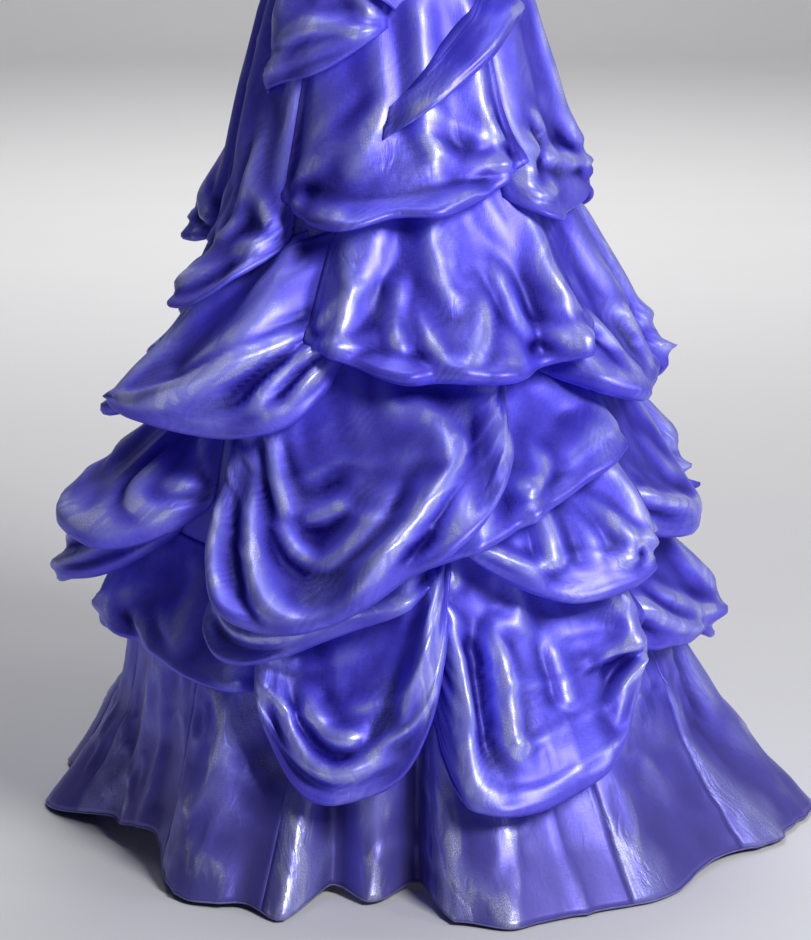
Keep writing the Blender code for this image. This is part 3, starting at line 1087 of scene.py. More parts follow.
SWAGS: tuple[SwagCut, ...] = (
    SwagCut("swag_back_low_a", 80, 0.255, 130, 0.280, 108, 0.190, 0.36, 0.40, 0.034, 2.2, 2.2, 2),
    SwagCut("swag_back_low_b", 124, 0.285, 180, 0.260, 150, 0.165, 0.41, 0.38, 0.045, 2.4, 2.0, 2),
    SwagCut("swag_back_low_c", 174, 0.265, 232, 0.285, 205, 0.180, 0.39, 0.41, 0.045, 2.0, 2.4, 2),
    SwagCut("swag_back_low_d", 226, 0.280, 292, 0.262, 256, 0.215, 0.40, 0.38, 0.030, 2.2, 1.8, 2),
    SwagCut("swag_low_left", -82, 0.262, -26, 0.218, -56, 0.240, 0.38, 0.36, 0.020, 2.0, 2.0, 1),
    SwagCut("swag_low_right", 44, 0.284, 88, 0.252, 58, 0.248, 0.38, 0.38, 0.040, 2.0, 2.0, 1),
    SwagCut("swag_low_front_right", 5, 0.350, 53, 0.275, 13, 0.114, 0.43, 0.42, 0.046, 3.2, 2.2, 2),
    SwagCut("swag_low_front_left", -30, 0.280, 12, 0.390, -6, 0.118, 0.37, 0.44, 0.042, 2.4, 3.2, 2),
    SwagCut("swag_second_u", -42, 0.345, 8, 0.355, -28, 0.266, 0.43, 0.43, 0.030, 2.2, 1.6, 1),
    SwagCut("swag_left_lower", -102, 0.370, -56, 0.390, -77, 0.300, 0.46, 0.47, 0.046, 2.2, 2.2, 1),
    SwagCut("swag_left_upper", -92, 0.440, -47, 0.420, -62, 0.366, 0.53, 0.50, 0.030, 2.2, 2.2, 1),
    SwagCut("swag_right_side", 47, 0.405, 92, 0.410, 66, 0.366, 0.54, 0.56, 0.066, 2.0, 2.0, 1),
    SwagCut("swag_back_mid_a", 86, 0.420, 132, 0.400, 110, 0.345, 0.55, 0.53, 0.050, 2.2, 2.2, 2),
    SwagCut("swag_back_mid_b", 126, 0.410, 176, 0.430, 150, 0.330, 0.53, 0.55, 0.048, 2.4, 2.0, 2),
    SwagCut("swag_back_mid_c", 170, 0.425, 222, 0.400, 200, 0.335, 0.55, 0.53, 0.046, 2.0, 2.4, 2),
    SwagCut("swag_back_mid_d", 216, 0.410, 266, 0.420, 240, 0.335, 0.53, 0.54, 0.040, 2.4, 2.0, 2),
    SwagCut("swag_mid_right", 9, 0.412, 56, 0.368, 32, 0.332, 0.51, 0.48, 0.040, 1.9, 1.9, 2),
    SwagCut("swag_diagonal", -9, 0.340, 60, 0.502, 14, 0.404, 0.50, 0.60, 0.035, 1.6, 1.5, 1),
    SwagCut("swag_big_u", -46, 0.500, 31, 0.556, -14, 0.324, 0.60, 0.63, 0.052, 3.0, 1.5, 3),
    SwagCut("swag_right_high", 41, 0.566, 92, 0.560, 62, 0.530, 0.78, 0.80, 0.060, 2.0, 2.0, 1),
    SwagCut("swag_back_high_a", 84, 0.570, 138, 0.585, 108, 0.508, 0.76, 0.78, 0.056, 2.2, 2.2, 2),
    SwagCut("swag_back_high_b", 132, 0.585, 196, 0.570, 160, 0.510, 0.78, 0.77, 0.048, 2.2, 2.2, 2),
    SwagCut("swag_back_high_c", 190, 0.570, 270, 0.580, 228, 0.510, 0.77, 0.77, 0.040, 2.2, 2.2, 2),
    SwagCut("swag_left_dark", -94, 0.548, -29, 0.628, -72, 0.502, 0.64, 0.72, 0.072, 2.4, 2.0, 1),
    SwagCut("swag_left_high", -67, 0.535, -13, 0.598, -27, 0.512, 0.67, 0.73, 0.035, 1.6, 2.4, 1),
    SwagCut("swag_centre_high", -23, 0.606, 53, 0.610, 17, 0.562, 0.80, 0.84, 0.042, 1.4, 2.2, 2),
    SwagCut("hip_left", -84, 0.672, -37, 0.706, -54, 0.636, 1.01, 1.01, 0.003, 2.0, 2.0, 1),
    SwagCut("hip_back_left", 212, 0.765, 282, 0.700, 245, 0.685, 1.01, 1.01, 0.018, 2.0, 2.0, 2),
    SwagCut("hip_back_centre", 146, 0.760, 217, 0.765, 180, 0.695, 1.01, 1.01, 0.030, 2.2, 2.2, 2),
    SwagCut("hip_back_right", 84, 0.778, 152, 0.760, 118, 0.706, 1.01, 1.01, 0.012, 2.2, 2.2, 2),
    SwagCut("hip_right", 36, 0.758, 94, 0.780, 52, 0.735, 0.99, 1.01, 0.006, 2.0, 2.0, 1),
    SwagCut("front_panel", -41, 0.750, 43, 0.796, 1, 0.738, 1.00, 1.00, 0.018, 2.2, 2.2, 1),
    SwagCut("drape_left", -62, 0.864, -3, 0.944, -30, 0.896, 1.03, 0.99, 0.004, 1.5, 1.5, 1),
    SwagCut("drape_right", -4, 0.824, 62, 0.968, 22, 0.886, 0.86, 1.03, 0.014, 1.5, 1.5, 1),
)

CREASES: dict[str, tuple[Crease, ...]] = {
    "swag_big_u": (
        Crease(0.14, -0.10, 0.42, 0.92, 0.74, 0.10, 0.020, 0.014),
        Crease(0.22, 0.05, 0.42, 0.62, 0.64, 0.05, 0.012, 0.011),
        Crease(0.17, -0.25, 0.31, 0.36, 0.52, 0.26, 0.012, 0.010),
        Crease(0.04, 0.20, 0.17, 0.80, 0.36, 0.98, 0.010, 0.010),
        Crease(0.50, 0.90, 0.68, 0.42, 0.82, 0.02, 0.015, 0.013),
    ),
    "swag_second_u": (
        Crease(0.10, 0.22, 0.45, 0.58, 0.93, 0.20, 0.012, 0.010),
        Crease(0.06, -0.12, 0.36, 0.12, 0.76, 0.24, 0.010, 0.010),
    ),
    "swag_diagonal": (
        Crease(0.28, 0.40, 0.62, 0.55, 0.95, 0.30, 0.010, 0.009),
        Crease(0.50, -1.90, 0.49, -0.80, 0.50, 0.10, 0.011, 0.011),
        Crease(0.34, -2.10, 0.33, -1.00, 0.31, -0.10, 0.010, 0.012),
        Crease(0.44, -1.90, 0.54, -1.50, 0.62, -2.10, 0.009, 0.010),
        Crease(0.90, -0.60, 0.74, -1.30, 0.58, -1.00, 0.009, 0.012),
    ),
    "swag_low_front_left": (
        Crease(0.17, 0.22, 0.38, 0.74, 0.76, 0.74, 0.016, 0.014),
        Crease(0.30, 0.26, 0.42, 0.58, 0.64, 0.64, 0.013, 0.012),
        Crease(0.94, 0.12, 0.89, 0.42, 0.83, 0.64, 0.012, 0.008),
        Crease(0.97, -0.10, 0.86, 0.44, 0.60, 0.80, 0.013, 0.012),
    ),
    "swag_low_front_right": (
        Crease(0.09, 0.00, 0.13, 0.38, 0.17, 0.62, 0.008, 0.008),
        Crease(0.18, 0.06, 0.22, 0.46, 0.25, 0.90, -0.013, 0.015),
        Crease(0.30, 0.02, 0.31, 0.42, 0.31, 0.78, 0.011, 0.013),
        Crease(0.54, 0.02, 0.57, 0.30, 0.55, 0.52, 0.007, 0.010),
        Crease(0.80, 0.00, 0.90, 0.46, 0.64, 0.82, 0.010, 0.013),
    ),
    "swag_mid_right": (
        Crease(0.06, 0.10, 0.24, 0.44, 0.42, 0.86, 0.011, 0.010),
        Crease(0.40, -1.60, 0.44, -0.60, 0.42, 0.60, 0.011, 0.010),
        Crease(0.68, -1.40, 0.76, -0.30, 0.68, 0.60, 0.012, 0.010),
        Crease(0.56, -1.20, 0.57, -0.30, 0.55, 0.50, -0.010, 0.014),
    ),
    "swag_low_left": (
        Crease(0.34, -1.60, 0.56, -0.20, 0.95, 0.60, 0.010, 0.011),
        Crease(0.12, -1.20, 0.30, -0.20, 0.60, 0.50, 0.009, 0.012),
    ),
    "front_panel": (
        Crease(0.02, 0.20, 0.44, 0.82, 0.92, 0.10, 0.014, 0.012),
        Crease(0.50, -3.20, 0.38, -1.60, 0.28, -0.40, 0.006, 0.014),
        Crease(0.53, -3.20, 0.62, -1.70, 0.66, -0.60, 0.006, 0.014),
        Crease(0.46, -3.00, 0.26, -1.60, 0.12, -0.60, 0.005, 0.012),
        Crease(0.56, -2.90, 0.76, -1.90, 0.86, -0.90, 0.006, 0.013),
        Crease(0.10, -1.10, 0.48, -0.30, 0.84, -0.80, -0.007, 0.026),
    ),
    "drape_left": (
        Crease(0.05, 0.40, 0.50, 0.50, 0.97, 0.30, 0.006, 0.007),
        Crease(0.04, -0.60, 0.50, -0.40, 0.97, -0.20, 0.005, 0.008),
        Crease(0.05, -1.60, 0.50, -1.30, 0.97, -0.70, 0.005, 0.008),
    ),
    "drape_right": (
        Crease(0.04, 0.30, 0.45, 0.50, 0.97, 0.20, 0.007, 0.008),
        Crease(0.05, -0.20, 0.45, -0.20, 0.97, -0.40, 0.006, 0.008),
        Crease(0.08, -0.60, 0.45, -0.80, 0.95, -1.20, 0.006, 0.009),
    ),
    "swag_centre_high": (
        Crease(0.33, -2.60, 0.31, -1.00, 0.33, 0.40, 0.007, 0.011),
        Crease(0.36, -2.20, 0.47, 0.45, 0.64, -2.00, 0.008, 0.010),
        Crease(0.67, -2.20, 0.70, -0.90, 0.78, 0.30, 0.007, 0.011),
        Crease(0.79, -1.00, 0.84, 0.30, 0.92, -0.50, 0.007, 0.009),
        Crease(0.05, -2.60, 0.05, -1.20, 0.03, -0.20, 0.007, 0.010),
        Crease(0.16, -2.60, 0.15, -1.30, 0.10, -0.20, 0.006, 0.011),
        Crease(0.16, 0.30, 0.36, 0.80, 0.72, 0.60, 0.007, 0.009),
    ),
    "swag_left_high": (
        Crease(0.94, -0.20, 0.76, 0.10, 0.66, 0.70, 0.013, 0.009),
        Crease(0.90, -0.60, 0.60, -0.20, 0.24, 0.20, 0.011, 0.011),
        Crease(0.98, 0.10, 0.88, 0.40, 0.80, 0.70, 0.009, 0.008),
    ),
    "swag_left_dark": (
        Crease(0.10, 0.10, 0.42, -0.50, 0.95, -0.40, 0.014, 0.012),
        Crease(0.16, 0.60, 0.50, 0.20, 0.96, 0.00, 0.012, 0.012),
        Crease(0.12, 0.90, 0.34, 0.80, 0.60, 0.60, 0.009, 0.010),
        Crease(0.20, 0.30, 0.52, 0.08, 0.90, -0.25, -0.040, 0.026),
    ),
    "hip_left": (
        Crease(0.20, -3.00, 0.16, -1.60, 0.12, -0.30, 0.006, 0.011),
        Crease(0.50, -2.60, 0.56, -1.20, 0.46, 0.00, 0.006, 0.011),
        Crease(0.06, 0.30, 0.46, 0.50, 0.96, -0.40, 0.009, 0.010),
        Crease(0.30, -1.00, 0.42, -0.40, 0.70, -0.70, 0.007, 0.009),
    ),
    "hip_right": (
        Crease(0.30, -3.00, 0.46, -1.60, 0.24, -0.20, 0.008, 0.011),
        Crease(0.12, -2.20, 0.44, -1.00, 0.90, -0.40, 0.007, 0.010),
        Crease(0.18, -1.60, 0.10, -0.80, 0.06, 0.00, 0.006, 0.009),
    ),
    "swag_left_upper": (
        Crease(0.08, 0.10, 0.34, 0.50, 0.80, 0.60, 0.012, 0.011),
        Crease(0.74, -0.80, 0.72, -0.10, 0.86, 0.40, 0.010, 0.009),
    ),
    "swag_left_lower": (
        Crease(0.10, 0.70, 0.50, 0.30, 0.95, -0.30, 0.012, 0.012),
        Crease(0.24, 0.90, 0.60, 0.60, 0.96, 0.10, 0.010, 0.010),
    ),
    "swag_right_side": (
        Crease(0.22, -1.00, 0.36, -0.10, 0.84, 0.30, 0.012, 0.012),
        Crease(0.10, 0.20, 0.32, 0.60, 0.80, 0.50, 0.010, 0.010),
    ),
    "swag_low_right": (
        Crease(0.20, -1.40, 0.36, -0.20, 0.84, 0.20, 0.011, 0.012),
        Crease(0.30, -1.60, 0.60, -0.60, 0.90, -0.10, 0.009, 0.011),
    ),
    "swag_right_high": (
        Crease(0.20, -2.40, 0.34, -0.90, 0.30, 0.40, 0.011, 0.011),
        Crease(0.50, -2.40, 0.62, -1.00, 0.56, 0.30, 0.011, 0.012),
    ),
}


@dataclass
class Swags:
    """All the picked-up swags, laid lowest first."""

    figure: Figure
    relief: Relief
    lay_gap: float = 0.0052
    end_depth: float = 0.014
    end_pinch: float = 0.35
    puff_share: float = 0.80
    roll_share: float = 0.36
    roll_limit: float = 0.019
    return_length: float = 0.040
    seat: float = 0.0018
    pitch: float = 0.0052
    roll_turns: tuple[float, ...] = (30.0, 60.0, 90.0, 120.0, 150.0, 180.0)
    return_shares: tuple[float, ...] = (0.25, 0.5, 0.75, 1.0)
    over_return: float = 0.0024
    low_hold: float = 0.16
    crease_share: float = 0.85
    wave_length: float = 0.046
    wave_height: float = 0.011
    wave_power: float = 2.2
    least_span: float = 0.03
    top_share: float = 0.94
    tack_pleats: float = 7.5
    tack_height: float = 0.014
    tack_reach: float = 0.13
    tack_bare: float = 0.03
    drift_height: float = 0.0024
    fine_height: float = 0.0020
    hem_sway: float = 0.007
    quiet_share: float = 0.45
    side_ease: float = 0.13
    brink_ease: float = 0.04
    belly_at: float = 0.75
    fold_seed: int = 5
    sway_seed: int = 60
    settle: Settle = Settle()

    def outline(self, cut: SwagCut, across: np.ndarray) -> tuple[np.ndarray, ...]:
        """Angles and heights of a swag's bottom and top edge.

        Args:
            cut: The swag's sizes.
            across: Shares from the left corner to the right.

        Returns:
            Bottom angle, bottom height, top angle, top height and the height of the line between the tacks.
        """
        middle = (cut.low - cut.left) / (cut.right - cut.left)
        lean = np.where(across < middle, (middle - across) / middle, (across - middle) / (1.0 - middle))
        steep = np.where(across < middle, cut.steep_left, cut.steep_right)
        sag = 1.0 - np.abs(lean) ** steep
        straight = cut.left_height + (cut.right_height - cut.left_height) * across
        at_low = cut.left_height + (cut.right_height - cut.left_height) * middle
        bottom_angle = cut.left + (cut.right - cut.left) * across
        bottom_height = straight + (cut.low_height - at_low) * sag
        top_angle = cut.left + (cut.right - cut.left) * (0.5 + (across - 0.5) * self.top_share)
        top_height = cut.top_left + (cut.top_right - cut.top_left) * across
        return bottom_angle, bottom_height, top_angle, top_height, straight

    def fold_line(self, cut: SwagCut, crease: Crease, radius: float) -> np.ndarray:
        """A crease's points as run and height.

        Args:
            cut: The swag's sizes.
            crease: The fold.
            radius: Radius that turns angles into lengths.

        Returns:
            Its points.
        """
        across, sag = crease.line()
        angle, bottom, _, _, straight = self.outline(cut, np.clip(across, 0.0, 1.0))
        height = straight - sag * np.maximum(straight - bottom, self.least_span)
        return np.stack([np.radians(angle) * radius, height], axis=-1)

    def own_folds(
        self,
        cut: SwagCut,
        number: int,
        sag: np.ndarray,
        run: np.ndarray,
        height: np.ndarray,
        radius: float,
        depth: np.ndarray,
    ) -> np.ndarray:
        """Folds that every swag has: nested hanging curves, pleats at its tacks and crisp crumples.

        Args:
            cut: The swag's sizes.
            number: The swag's place in the order, for its seed.
            sag: Sags of the points.
            run: Lengths round the body.
            height: Heights above the hem.
            radius: Radius that turns angles into lengths.
            depth: How far the swag stands out across its width.

        Returns:
            Distances out.
        """
        crumple = Crumple(number + self.fold_seed)
        quiet = self.quiet_share if cut.name in CREASES else 1.0
        x, y = run / 0.07, height / 0.09
        span = abs(0.5 * (cut.left_height + cut.right_height) - cut.low_height)
        count = min(cut.folds + 1.5, max(span, self.least_span) / self.wave_length)
        phase = sag * count + 0.35 * crumple.soft(x + 9, y, 1) + 0.17 * number
        phase = phase + 0.10 * np.sin(2.0 * np.pi * phase)
        wave = (0.5 + 0.5 * np.cos(2.0 * np.pi * phase)) ** self.wave_power - 0.36
        uneven = (0.65 + 0.5 * crumple.soft(x, y + 5, 2)) * smooth((sag + 0.15) / 0.3)
        total = quiet * np.minimum(0.45 * depth, self.wave_height) * wave * uneven
        for tack, tack_height in ((cut.left, cut.left_height), (cut.right, cut.right_height)):
            dx, dy = run - math.radians(tack) * radius, height - tack_height
            reach = np.hypot(dx, dy)
            turn = np.arctan2(dy, np.abs(dx) + 0.002)
            sway = 1.2 * crumple.soft(turn * 1.5 + 3, reach * 8.0, 3)
            spokes = 0.5 + 0.5 * np.cos(turn * self.tack_pleats + number + sway)
            near = np.exp(-reach / self.tack_reach) * smooth(reach / self.tack_bare)
            total = total + quiet ** 0.5 * self.tack_height * (spokes ** 2 - 0.36) * near
        total = total + self.drift_height * crumple.soft(run / 0.050 + 9, height / 0.100, 4)
        fine = crumple.creased(run / 0.030 + 9, height / 0.050, 5) * smooth(0.5 + crumple.soft(x, y + 20, 6))
        return total + self.fine_height * fine

    def lay(self, cut: SwagCut, number: int) -> np.ndarray:
        """Points of one swag: its front, the puffed lower edge and the return behind.

        Args:
            cut: The swag's sizes.
            number: The swag's place in the order.

        Returns:
            Its grid of points.
        """
        radius = float(self.figure.radii(np.array([cut.low_height + 0.08]))[0][0]) + cut.puff
        width = math.radians(cut.right - cut.left) * radius
        length = (0.5 * (cut.top_left + cut.top_right) - cut.low_height) * 1.06
        columns = int(np.clip(round(width / self.pitch), 36, 104))
        rows = int(np.clip(round(length / self.pitch), 22, 76))
        across = np.linspace(0.0, 1.0, columns + 1)[:, None]
        down = np.linspace(0.0, 1.0, rows + 1)[None, :]
        full = np.sin(np.pi * across)
        pinch = self.end_pinch + (1.0 - self.end_pinch) * full ** 0.6
        depth = cut.puff * full ** 0.7 * self.puff_share + self.end_depth * pinch
        roll = np.minimum(self.roll_share * depth, self.roll_limit)
        bottom_angle, bottom_height, top_angle, top_height, straight = self.outline(cut, across)
        sway = Crumple(number + self.sway_seed)
        along = np.radians(bottom_angle) * radius
        roll = roll * (0.72 + 0.30 * sway.soft(along / 0.045 + 20, along * 0.0 + 4.0, 1))
        unevenness = sway.soft(along / 0.06 + 20, along * 0.0 + 9.0, 2)
        bottom_height = bottom_height + self.hem_sway * unevenness * full
        angle = top_angle + (bottom_angle - top_angle) * down
        height = top_height + (bottom_height + roll - top_height) * down
        run = np.radians(angle) * radius
        sag = (straight - height) / np.maximum(straight - bottom_height, self.least_span)
        folds = self.own_folds(cut, number, sag, run, height, radius, depth)
        for crease in CREASES.get(cut.name, ()):
            folds = folds + self.crease_share * crease.lift(run, height, self.fold_line(cut, crease, radius))
        spread = self.relief.spread()
        floor = self.relief.sample(spread, angle, height) + self.lay_gap
        sewn = self.relief.sample(self.relief.out, angle, height) + self.seat
        edge = smooth(down / 0.18) * eased_ends(across, self.side_ease)
        floor = sewn + (floor - sewn) * edge
        drawn_in = 0.07 * smooth((down - self.belly_at) / (1.0 - self.belly_at))
        belly = np.sin(np.pi / 2 * np.clip(down / self.belly_at, 0, 1)) ** 1.4 - drawn_in
        held = smooth(down / 0.12) * (0.25 + 0.75 * eased_ends(across, 0.12))
        brink = eased_ends(across, self.brink_ease)
        out = floor + (depth * belly * (0.2 + 0.8 * edge) + folds * held) * brink
        out = np.maximum(out, sewn + 0.25 * depth * belly * edge)

        angles, heights, outs = [angle], [height], [out]
        for turn in np.radians(self.roll_turns):
            angles.append(bottom_angle)
            heights.append(height[:, -1:] - roll * np.sin(turn))
            outs.append(out[:, -1:] - roll * (1 - np.cos(turn)))
        for share in self.return_shares:
            behind = height[:, -1:] + self.return_length * pinch * share
            rest = self.relief.sample(self.relief.out, bottom_angle, behind) + self.seat
            angles.append(bottom_angle)
            heights.append(behind)
            lean = share ** 0.7
            outs.append(np.maximum((out[:, -1:] - 2 * roll) * (1.0 - lean) + rest * lean, rest))
        return self.figure.place(np.hstack(angles), np.hstack(heights), np.hstack(outs))

    def settled(self, points: np.ndarray) -> np.ndarray:
        """A laid swag after its cloth has settled, still over what lies under it.

        Args:
            points: The swag as it was laid.

        Returns:
            Its settled points.
        """
        columns, rows = points.shape[:2]
        back = len(self.return_shares)
        front = rows - back - len(self.roll_turns)
        across = np.linspace(0.0, 1.0, columns)[:, None]
        down = np.minimum(np.arange(rows) / (front - 1.0), 1.0)[None, :]
        sewn = smooth((rows - back - 1 - np.arange(rows)) / 4.0)[None, :]
        loose = eased_ends(across, 0.10) * smooth(down / 0.12) * sewn
        loose = np.minimum(loose, 1.0 - self.low_hold * smooth((down - 0.55) / 0.4))
        fuller = eased_ends(across, 0.26) * smooth(down / 0.2) * sewn
        return self.lifted(self.settle.run(points, loose, fuller), front)

    def lifted(self, points: np.ndarray, front: int) -> np.ndarray:
        """Points moved out wherever they sank into the cloth below or into their own return.

        Args:
            points: The swag's points.
            front: Number of rows in front of the rolled edge.

        Returns:
            The lifted points.
        """
        angle, height, out = self.figure.read(points)
        floor = self.relief.sample(self.relief.out, angle, height) + self.seat
        behind = front + len(self.roll_turns) - 1
        for column in range(points.shape[0]):
            order = np.argsort(height[column, behind:])
            heights, outs = height[column, behind:][order], out[column, behind:][order]
            over = np.interp(height[column, :front], heights, outs, left=-1.0, right=-1.0) + self.over_return
            floor[column, :front] = np.maximum(floor[column, :front], over)
        need = np.maximum(floor - out, 0.0)
        push = need
        for _ in range(3):
            push = np.maximum((sum(neighbours(push)) + 4.0 * push) / 8.0, need)
        push[:, front:] = need[:, front:]
        return self.figure.place(angle, height, out + push)

    def build(self, finishes: tuple[bpy.types.Material, ...]) -> None:
        """Lay, settle, build and dress every swag.

        Args:
            finishes: Materials that the swags take in turn.
        """
        for number, cut in enumerate(SWAGS):
            points = self.lay(cut, number)
            points = self.settled(points)
            self.relief.add(points)
            rolled = len(self.roll_turns) + len(self.return_shares)
            rests = ("gore_a", "gore_g")
            piece = ClothPiece(cut.name, points, Slot.SWAG, Hang.DRAPED, rests, rolled_rows=rolled)
            piece.build(finishes[number % len(finishes)])


@dataclass(frozen=True)
class HemFold:
    """A crest or valley at the hem: out from the figure, lifted off the floor."""

    angle: float
    out: float
    lift: float


@dataclass
class Flounce:
    """The twelve skirt gores, of which the hem flounce shows."""

    figure: Figure
    relief: Relief
    folds: tuple[HemFold, ...] = (
        HemFold(-176.0, 0.040, 0.000),
        HemFold(-160.0, -0.030, 0.004),
        HemFold(-146.0, 0.045, 0.000),
        HemFold(-131.0, -0.025, 0.006),
        HemFold(-117.0, 0.050, 0.000),
        HemFold(-104.0, -0.010, 0.004),
        HemFold(-92.0, 0.012, 0.000),
        HemFold(-72.0, -0.050, 0.018),
        HemFold(-56.0, -0.048, 0.032),
        HemFold(-34.0, 0.016, 0.002),
        HemFold(-25.0, -0.004, 0.004),
        HemFold(-17.0, 0.018, 0.000),
        HemFold(-13.0, -0.075, 0.008),
        HemFold(-4.0, -0.040, 0.002),
        HemFold(5.0, -0.095, 0.006),
        HemFold(9.0, 0.020, 0.002),
        HemFold(17.5, 0.056, 0.000),
        HemFold(29.0, 0.026, 0.000),
        HemFold(44.0, 0.044, 0.000),
        HemFold(58.0, 0.018, 0.004),
        HemFold(75.0, 0.060, 0.002),
        HemFold(91.0, 0.100, 0.000),
        HemFold(108.0, 0.010, 0.006),
        HemFold(122.0, 0.055, 0.000),
        HemFold(137.0, -0.020, 0.005),
        HemFold(152.0, 0.048, 0.000),
        HemFold(168.0, -0.028, 0.004),
    )
    first_folds: tuple[int, ...] = (0, 2, 4, 6, 8, 10, 14, 17, 19, 21, 23, 25)
    top: float = 1.045
    reach: float = 0.31
    power: float = 1.15
    pitch: float = 0.0065
    low_rows_top: float = 0.33
    fine_rows_top: float = 0.34
    high_rows: int = 22
    hem_hold: float = 0.75
    seed: int = 97
    mean_radius: float = 0.36
    drift: float = 0.013
    ridge: float = 0.0055
    small_ridge: float = 0.0034
    roll_radius: float = 0.0011
    # Crest share given to the rolled hem: painted light and glints along it.
    hem_roll_painted_light: float = 0.85
    settle: Settle = Settle(hold=0.03, grow=0.18, bending=100.0, gravity=0.2, farthest=0.03)

    def wave(self, angle: np.ndarray) -> tuple[np.ndarray, np.ndarray]:
        """Crest and valley offset and lift round the hem.

        Args:
            angle: Degrees round the body.

        Returns:
            Distances out and lifts.
        """
        angles = np.array([fold.angle for fold in self.folds])
        outs = np.array([fold.out for fold in self.folds])
        lifts = np.array([fold.lift for fold in self.folds])
        angles = np.append(angles, angles[0] + 360.0)
        outs, lifts = np.append(outs, outs[0]), np.append(lifts, lifts[0])
        wrapped = (np.asarray(angle) - angles[0]) % 360.0 + angles[0]
        index = np.clip(np.searchsorted(angles, wrapped, side="right") - 1, 0, len(angles) - 2)
        part = smooth((wrapped - angles[index]) / (angles[index + 1] - angles[index]))
        out = outs[index] * (1 - part) + outs[index + 1] * part
        return out, lifts[index] * (1 - part) + lifts[index + 1] * part

    def seams(self, number: int) -> tuple[float, float]:
        """Angles of a gore's two seams.

        Args:
            number: Which gore.

        Returns:
            Left and right angle.
        """
        angles = [fold.angle for fold in self.folds] + [fold.angle + 360.0 for fold in self.folds]
        first = self.first_folds[number]
        last = self.first_folds[number + 1] if number + 1 < len(self.first_folds) else len(self.folds)
        return (angles[first] + angles[first + 1]) / 2, (angles[last] + angles[last + 1]) / 2

    def lay(self, number: int) -> np.ndarray:
        """Points of one gore.

        Args:
            number: Which gore.

        Returns:
            Its grid of points.
        """
        left, right = self.seams(number)
        columns = max(24, round(math.radians(right - left) * 0.42 / self.pitch))
        low = np.arange(0.0, self.fine_rows_top, self.pitch)
        high = np.linspace(self.fine_rows_top, self.top, self.high_rows)
        height = np.concatenate([low, high])[None, :]
        angle = np.linspace(left, right, columns + 1)[:, None]
        angle = np.repeat(angle, height.shape[1], axis=1)
        out, lift = self.wave(angle)
        fade = np.clip(1.0 - height / self.reach, 0.0, 1.0) ** self.power
        crumple = Crumple(self.seed)
        turns = np.radians(angle) * self.mean_radius
        drift = self.drift * crumple.soft(turns / 0.060 + 40, height / 0.16 + 3, 1)
        drift = drift * smooth((self.reach - height) / 0.2)
        ridges = crumple.creased(turns / 0.050 + 40, height / 0.080 + 9, 2) * self.ridge
        small = crumple.creased(turns / 0.022 + 80, height / 0.034 + 5, 3) * self.small_ridge
        patch = smooth(0.4 + 1.2 * crumple.soft(turns / 0.11 + 40, height / 0.10 + 20, 4))
        out = out * fade + (drift + ridges + small * patch) * smooth((self.reach - height) / 0.12)
        return self.figure.place(angle, height + lift * fade, out)

    def settled(self, gores: list[np.ndarray]) -> list[np.ndarray]:
        """The laid gores after the cloth of their flounce has settled as one ring.

        Args:
            gores: The gores as they were laid.

        Returns:
            Their settled points.
        """
        ring = np.concatenate([gore[:-1] for gore in gores] + [gores[0][:1]])
        low = int((self.low_rows_top + 1e-6) / self.pitch)
        height = ring[:, :low, 2] + WAIST_TO_HEM
        share = np.arange(len(ring)) / (len(ring) - 1.0)
        closed = eased_ends(share, 0.02)
        rise = 1.0 - self.hem_hold * (1.0 - smooth(np.arange(low) / 5.0))
        loose = closed[:, None] * rise[None, :] * smooth((self.reach - height) / 0.09)
        ring[:, :low] = self.settle.run(ring[:, :low], loose, loose)
        ends = np.cumsum([0] + [len(gore) - 1 for gore in gores])
        return [ring[first:last + 1].copy() for first, last in zip(ends[:-1], ends[1:])]

    def build(self, finish: bpy.types.Material) -> None:
        """Lay, settle, build and dress the gores and the rolled hem.

        Args:
            finish: The skirt's material.
        """
        gores = [self.lay(number) for number in range(len(self.first_folds))]
        gores = self.settled(gores)
        for number, points in enumerate(gores):
            self.relief.add(points)
            name = "gore_" + "abcdefghijkl"[number]
            ClothPiece(name, points, Slot.SKIRT, Hang.HUNG, ("bodice_front",)).build(finish)
        self.roll_hem(np.concatenate([points[:-1, 0] for points in gores]), finish)

    def roll_hem(self, line: np.ndarray, finish: bpy.types.Material) -> None:
        """Sweep the narrow rolled hem round the lower edge.

        Args:
            line: Points of the lower edge in order.
            finish: The skirt's material.
        """
        curve = bpy.data.curves.new("rolled_hem", "CURVE")
        curve.dimensions = "3D"
        curve.bevel_depth = self.roll_radius
        curve.bevel_resolution = 1
        spline = curve.splines.new("POLY")
        spline.points.add(len(line) - 1)
        for point, place in zip(spline.points, line):
            point.co = (*place, 1.0)
        spline.use_cyclic_u = True
        guide = add_object("rolled_hem_line", curve)
        mesh = bpy.data.meshes.new_from_object(guide.evaluated_get(bpy.context.evaluated_depsgraph_get()))
        bpy.data.objects.remove(guide, do_unlink=True)
        mesh.materials.clear()
        mesh.materials.append(finish)
        # The rolled hem's high crest share paints it lighter with glints.
        write_crests(mesh, np.full(len(mesh.vertices), self.hem_roll_painted_light))
        piece = add_object("rolled_hem", mesh)
        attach(piece, "root")


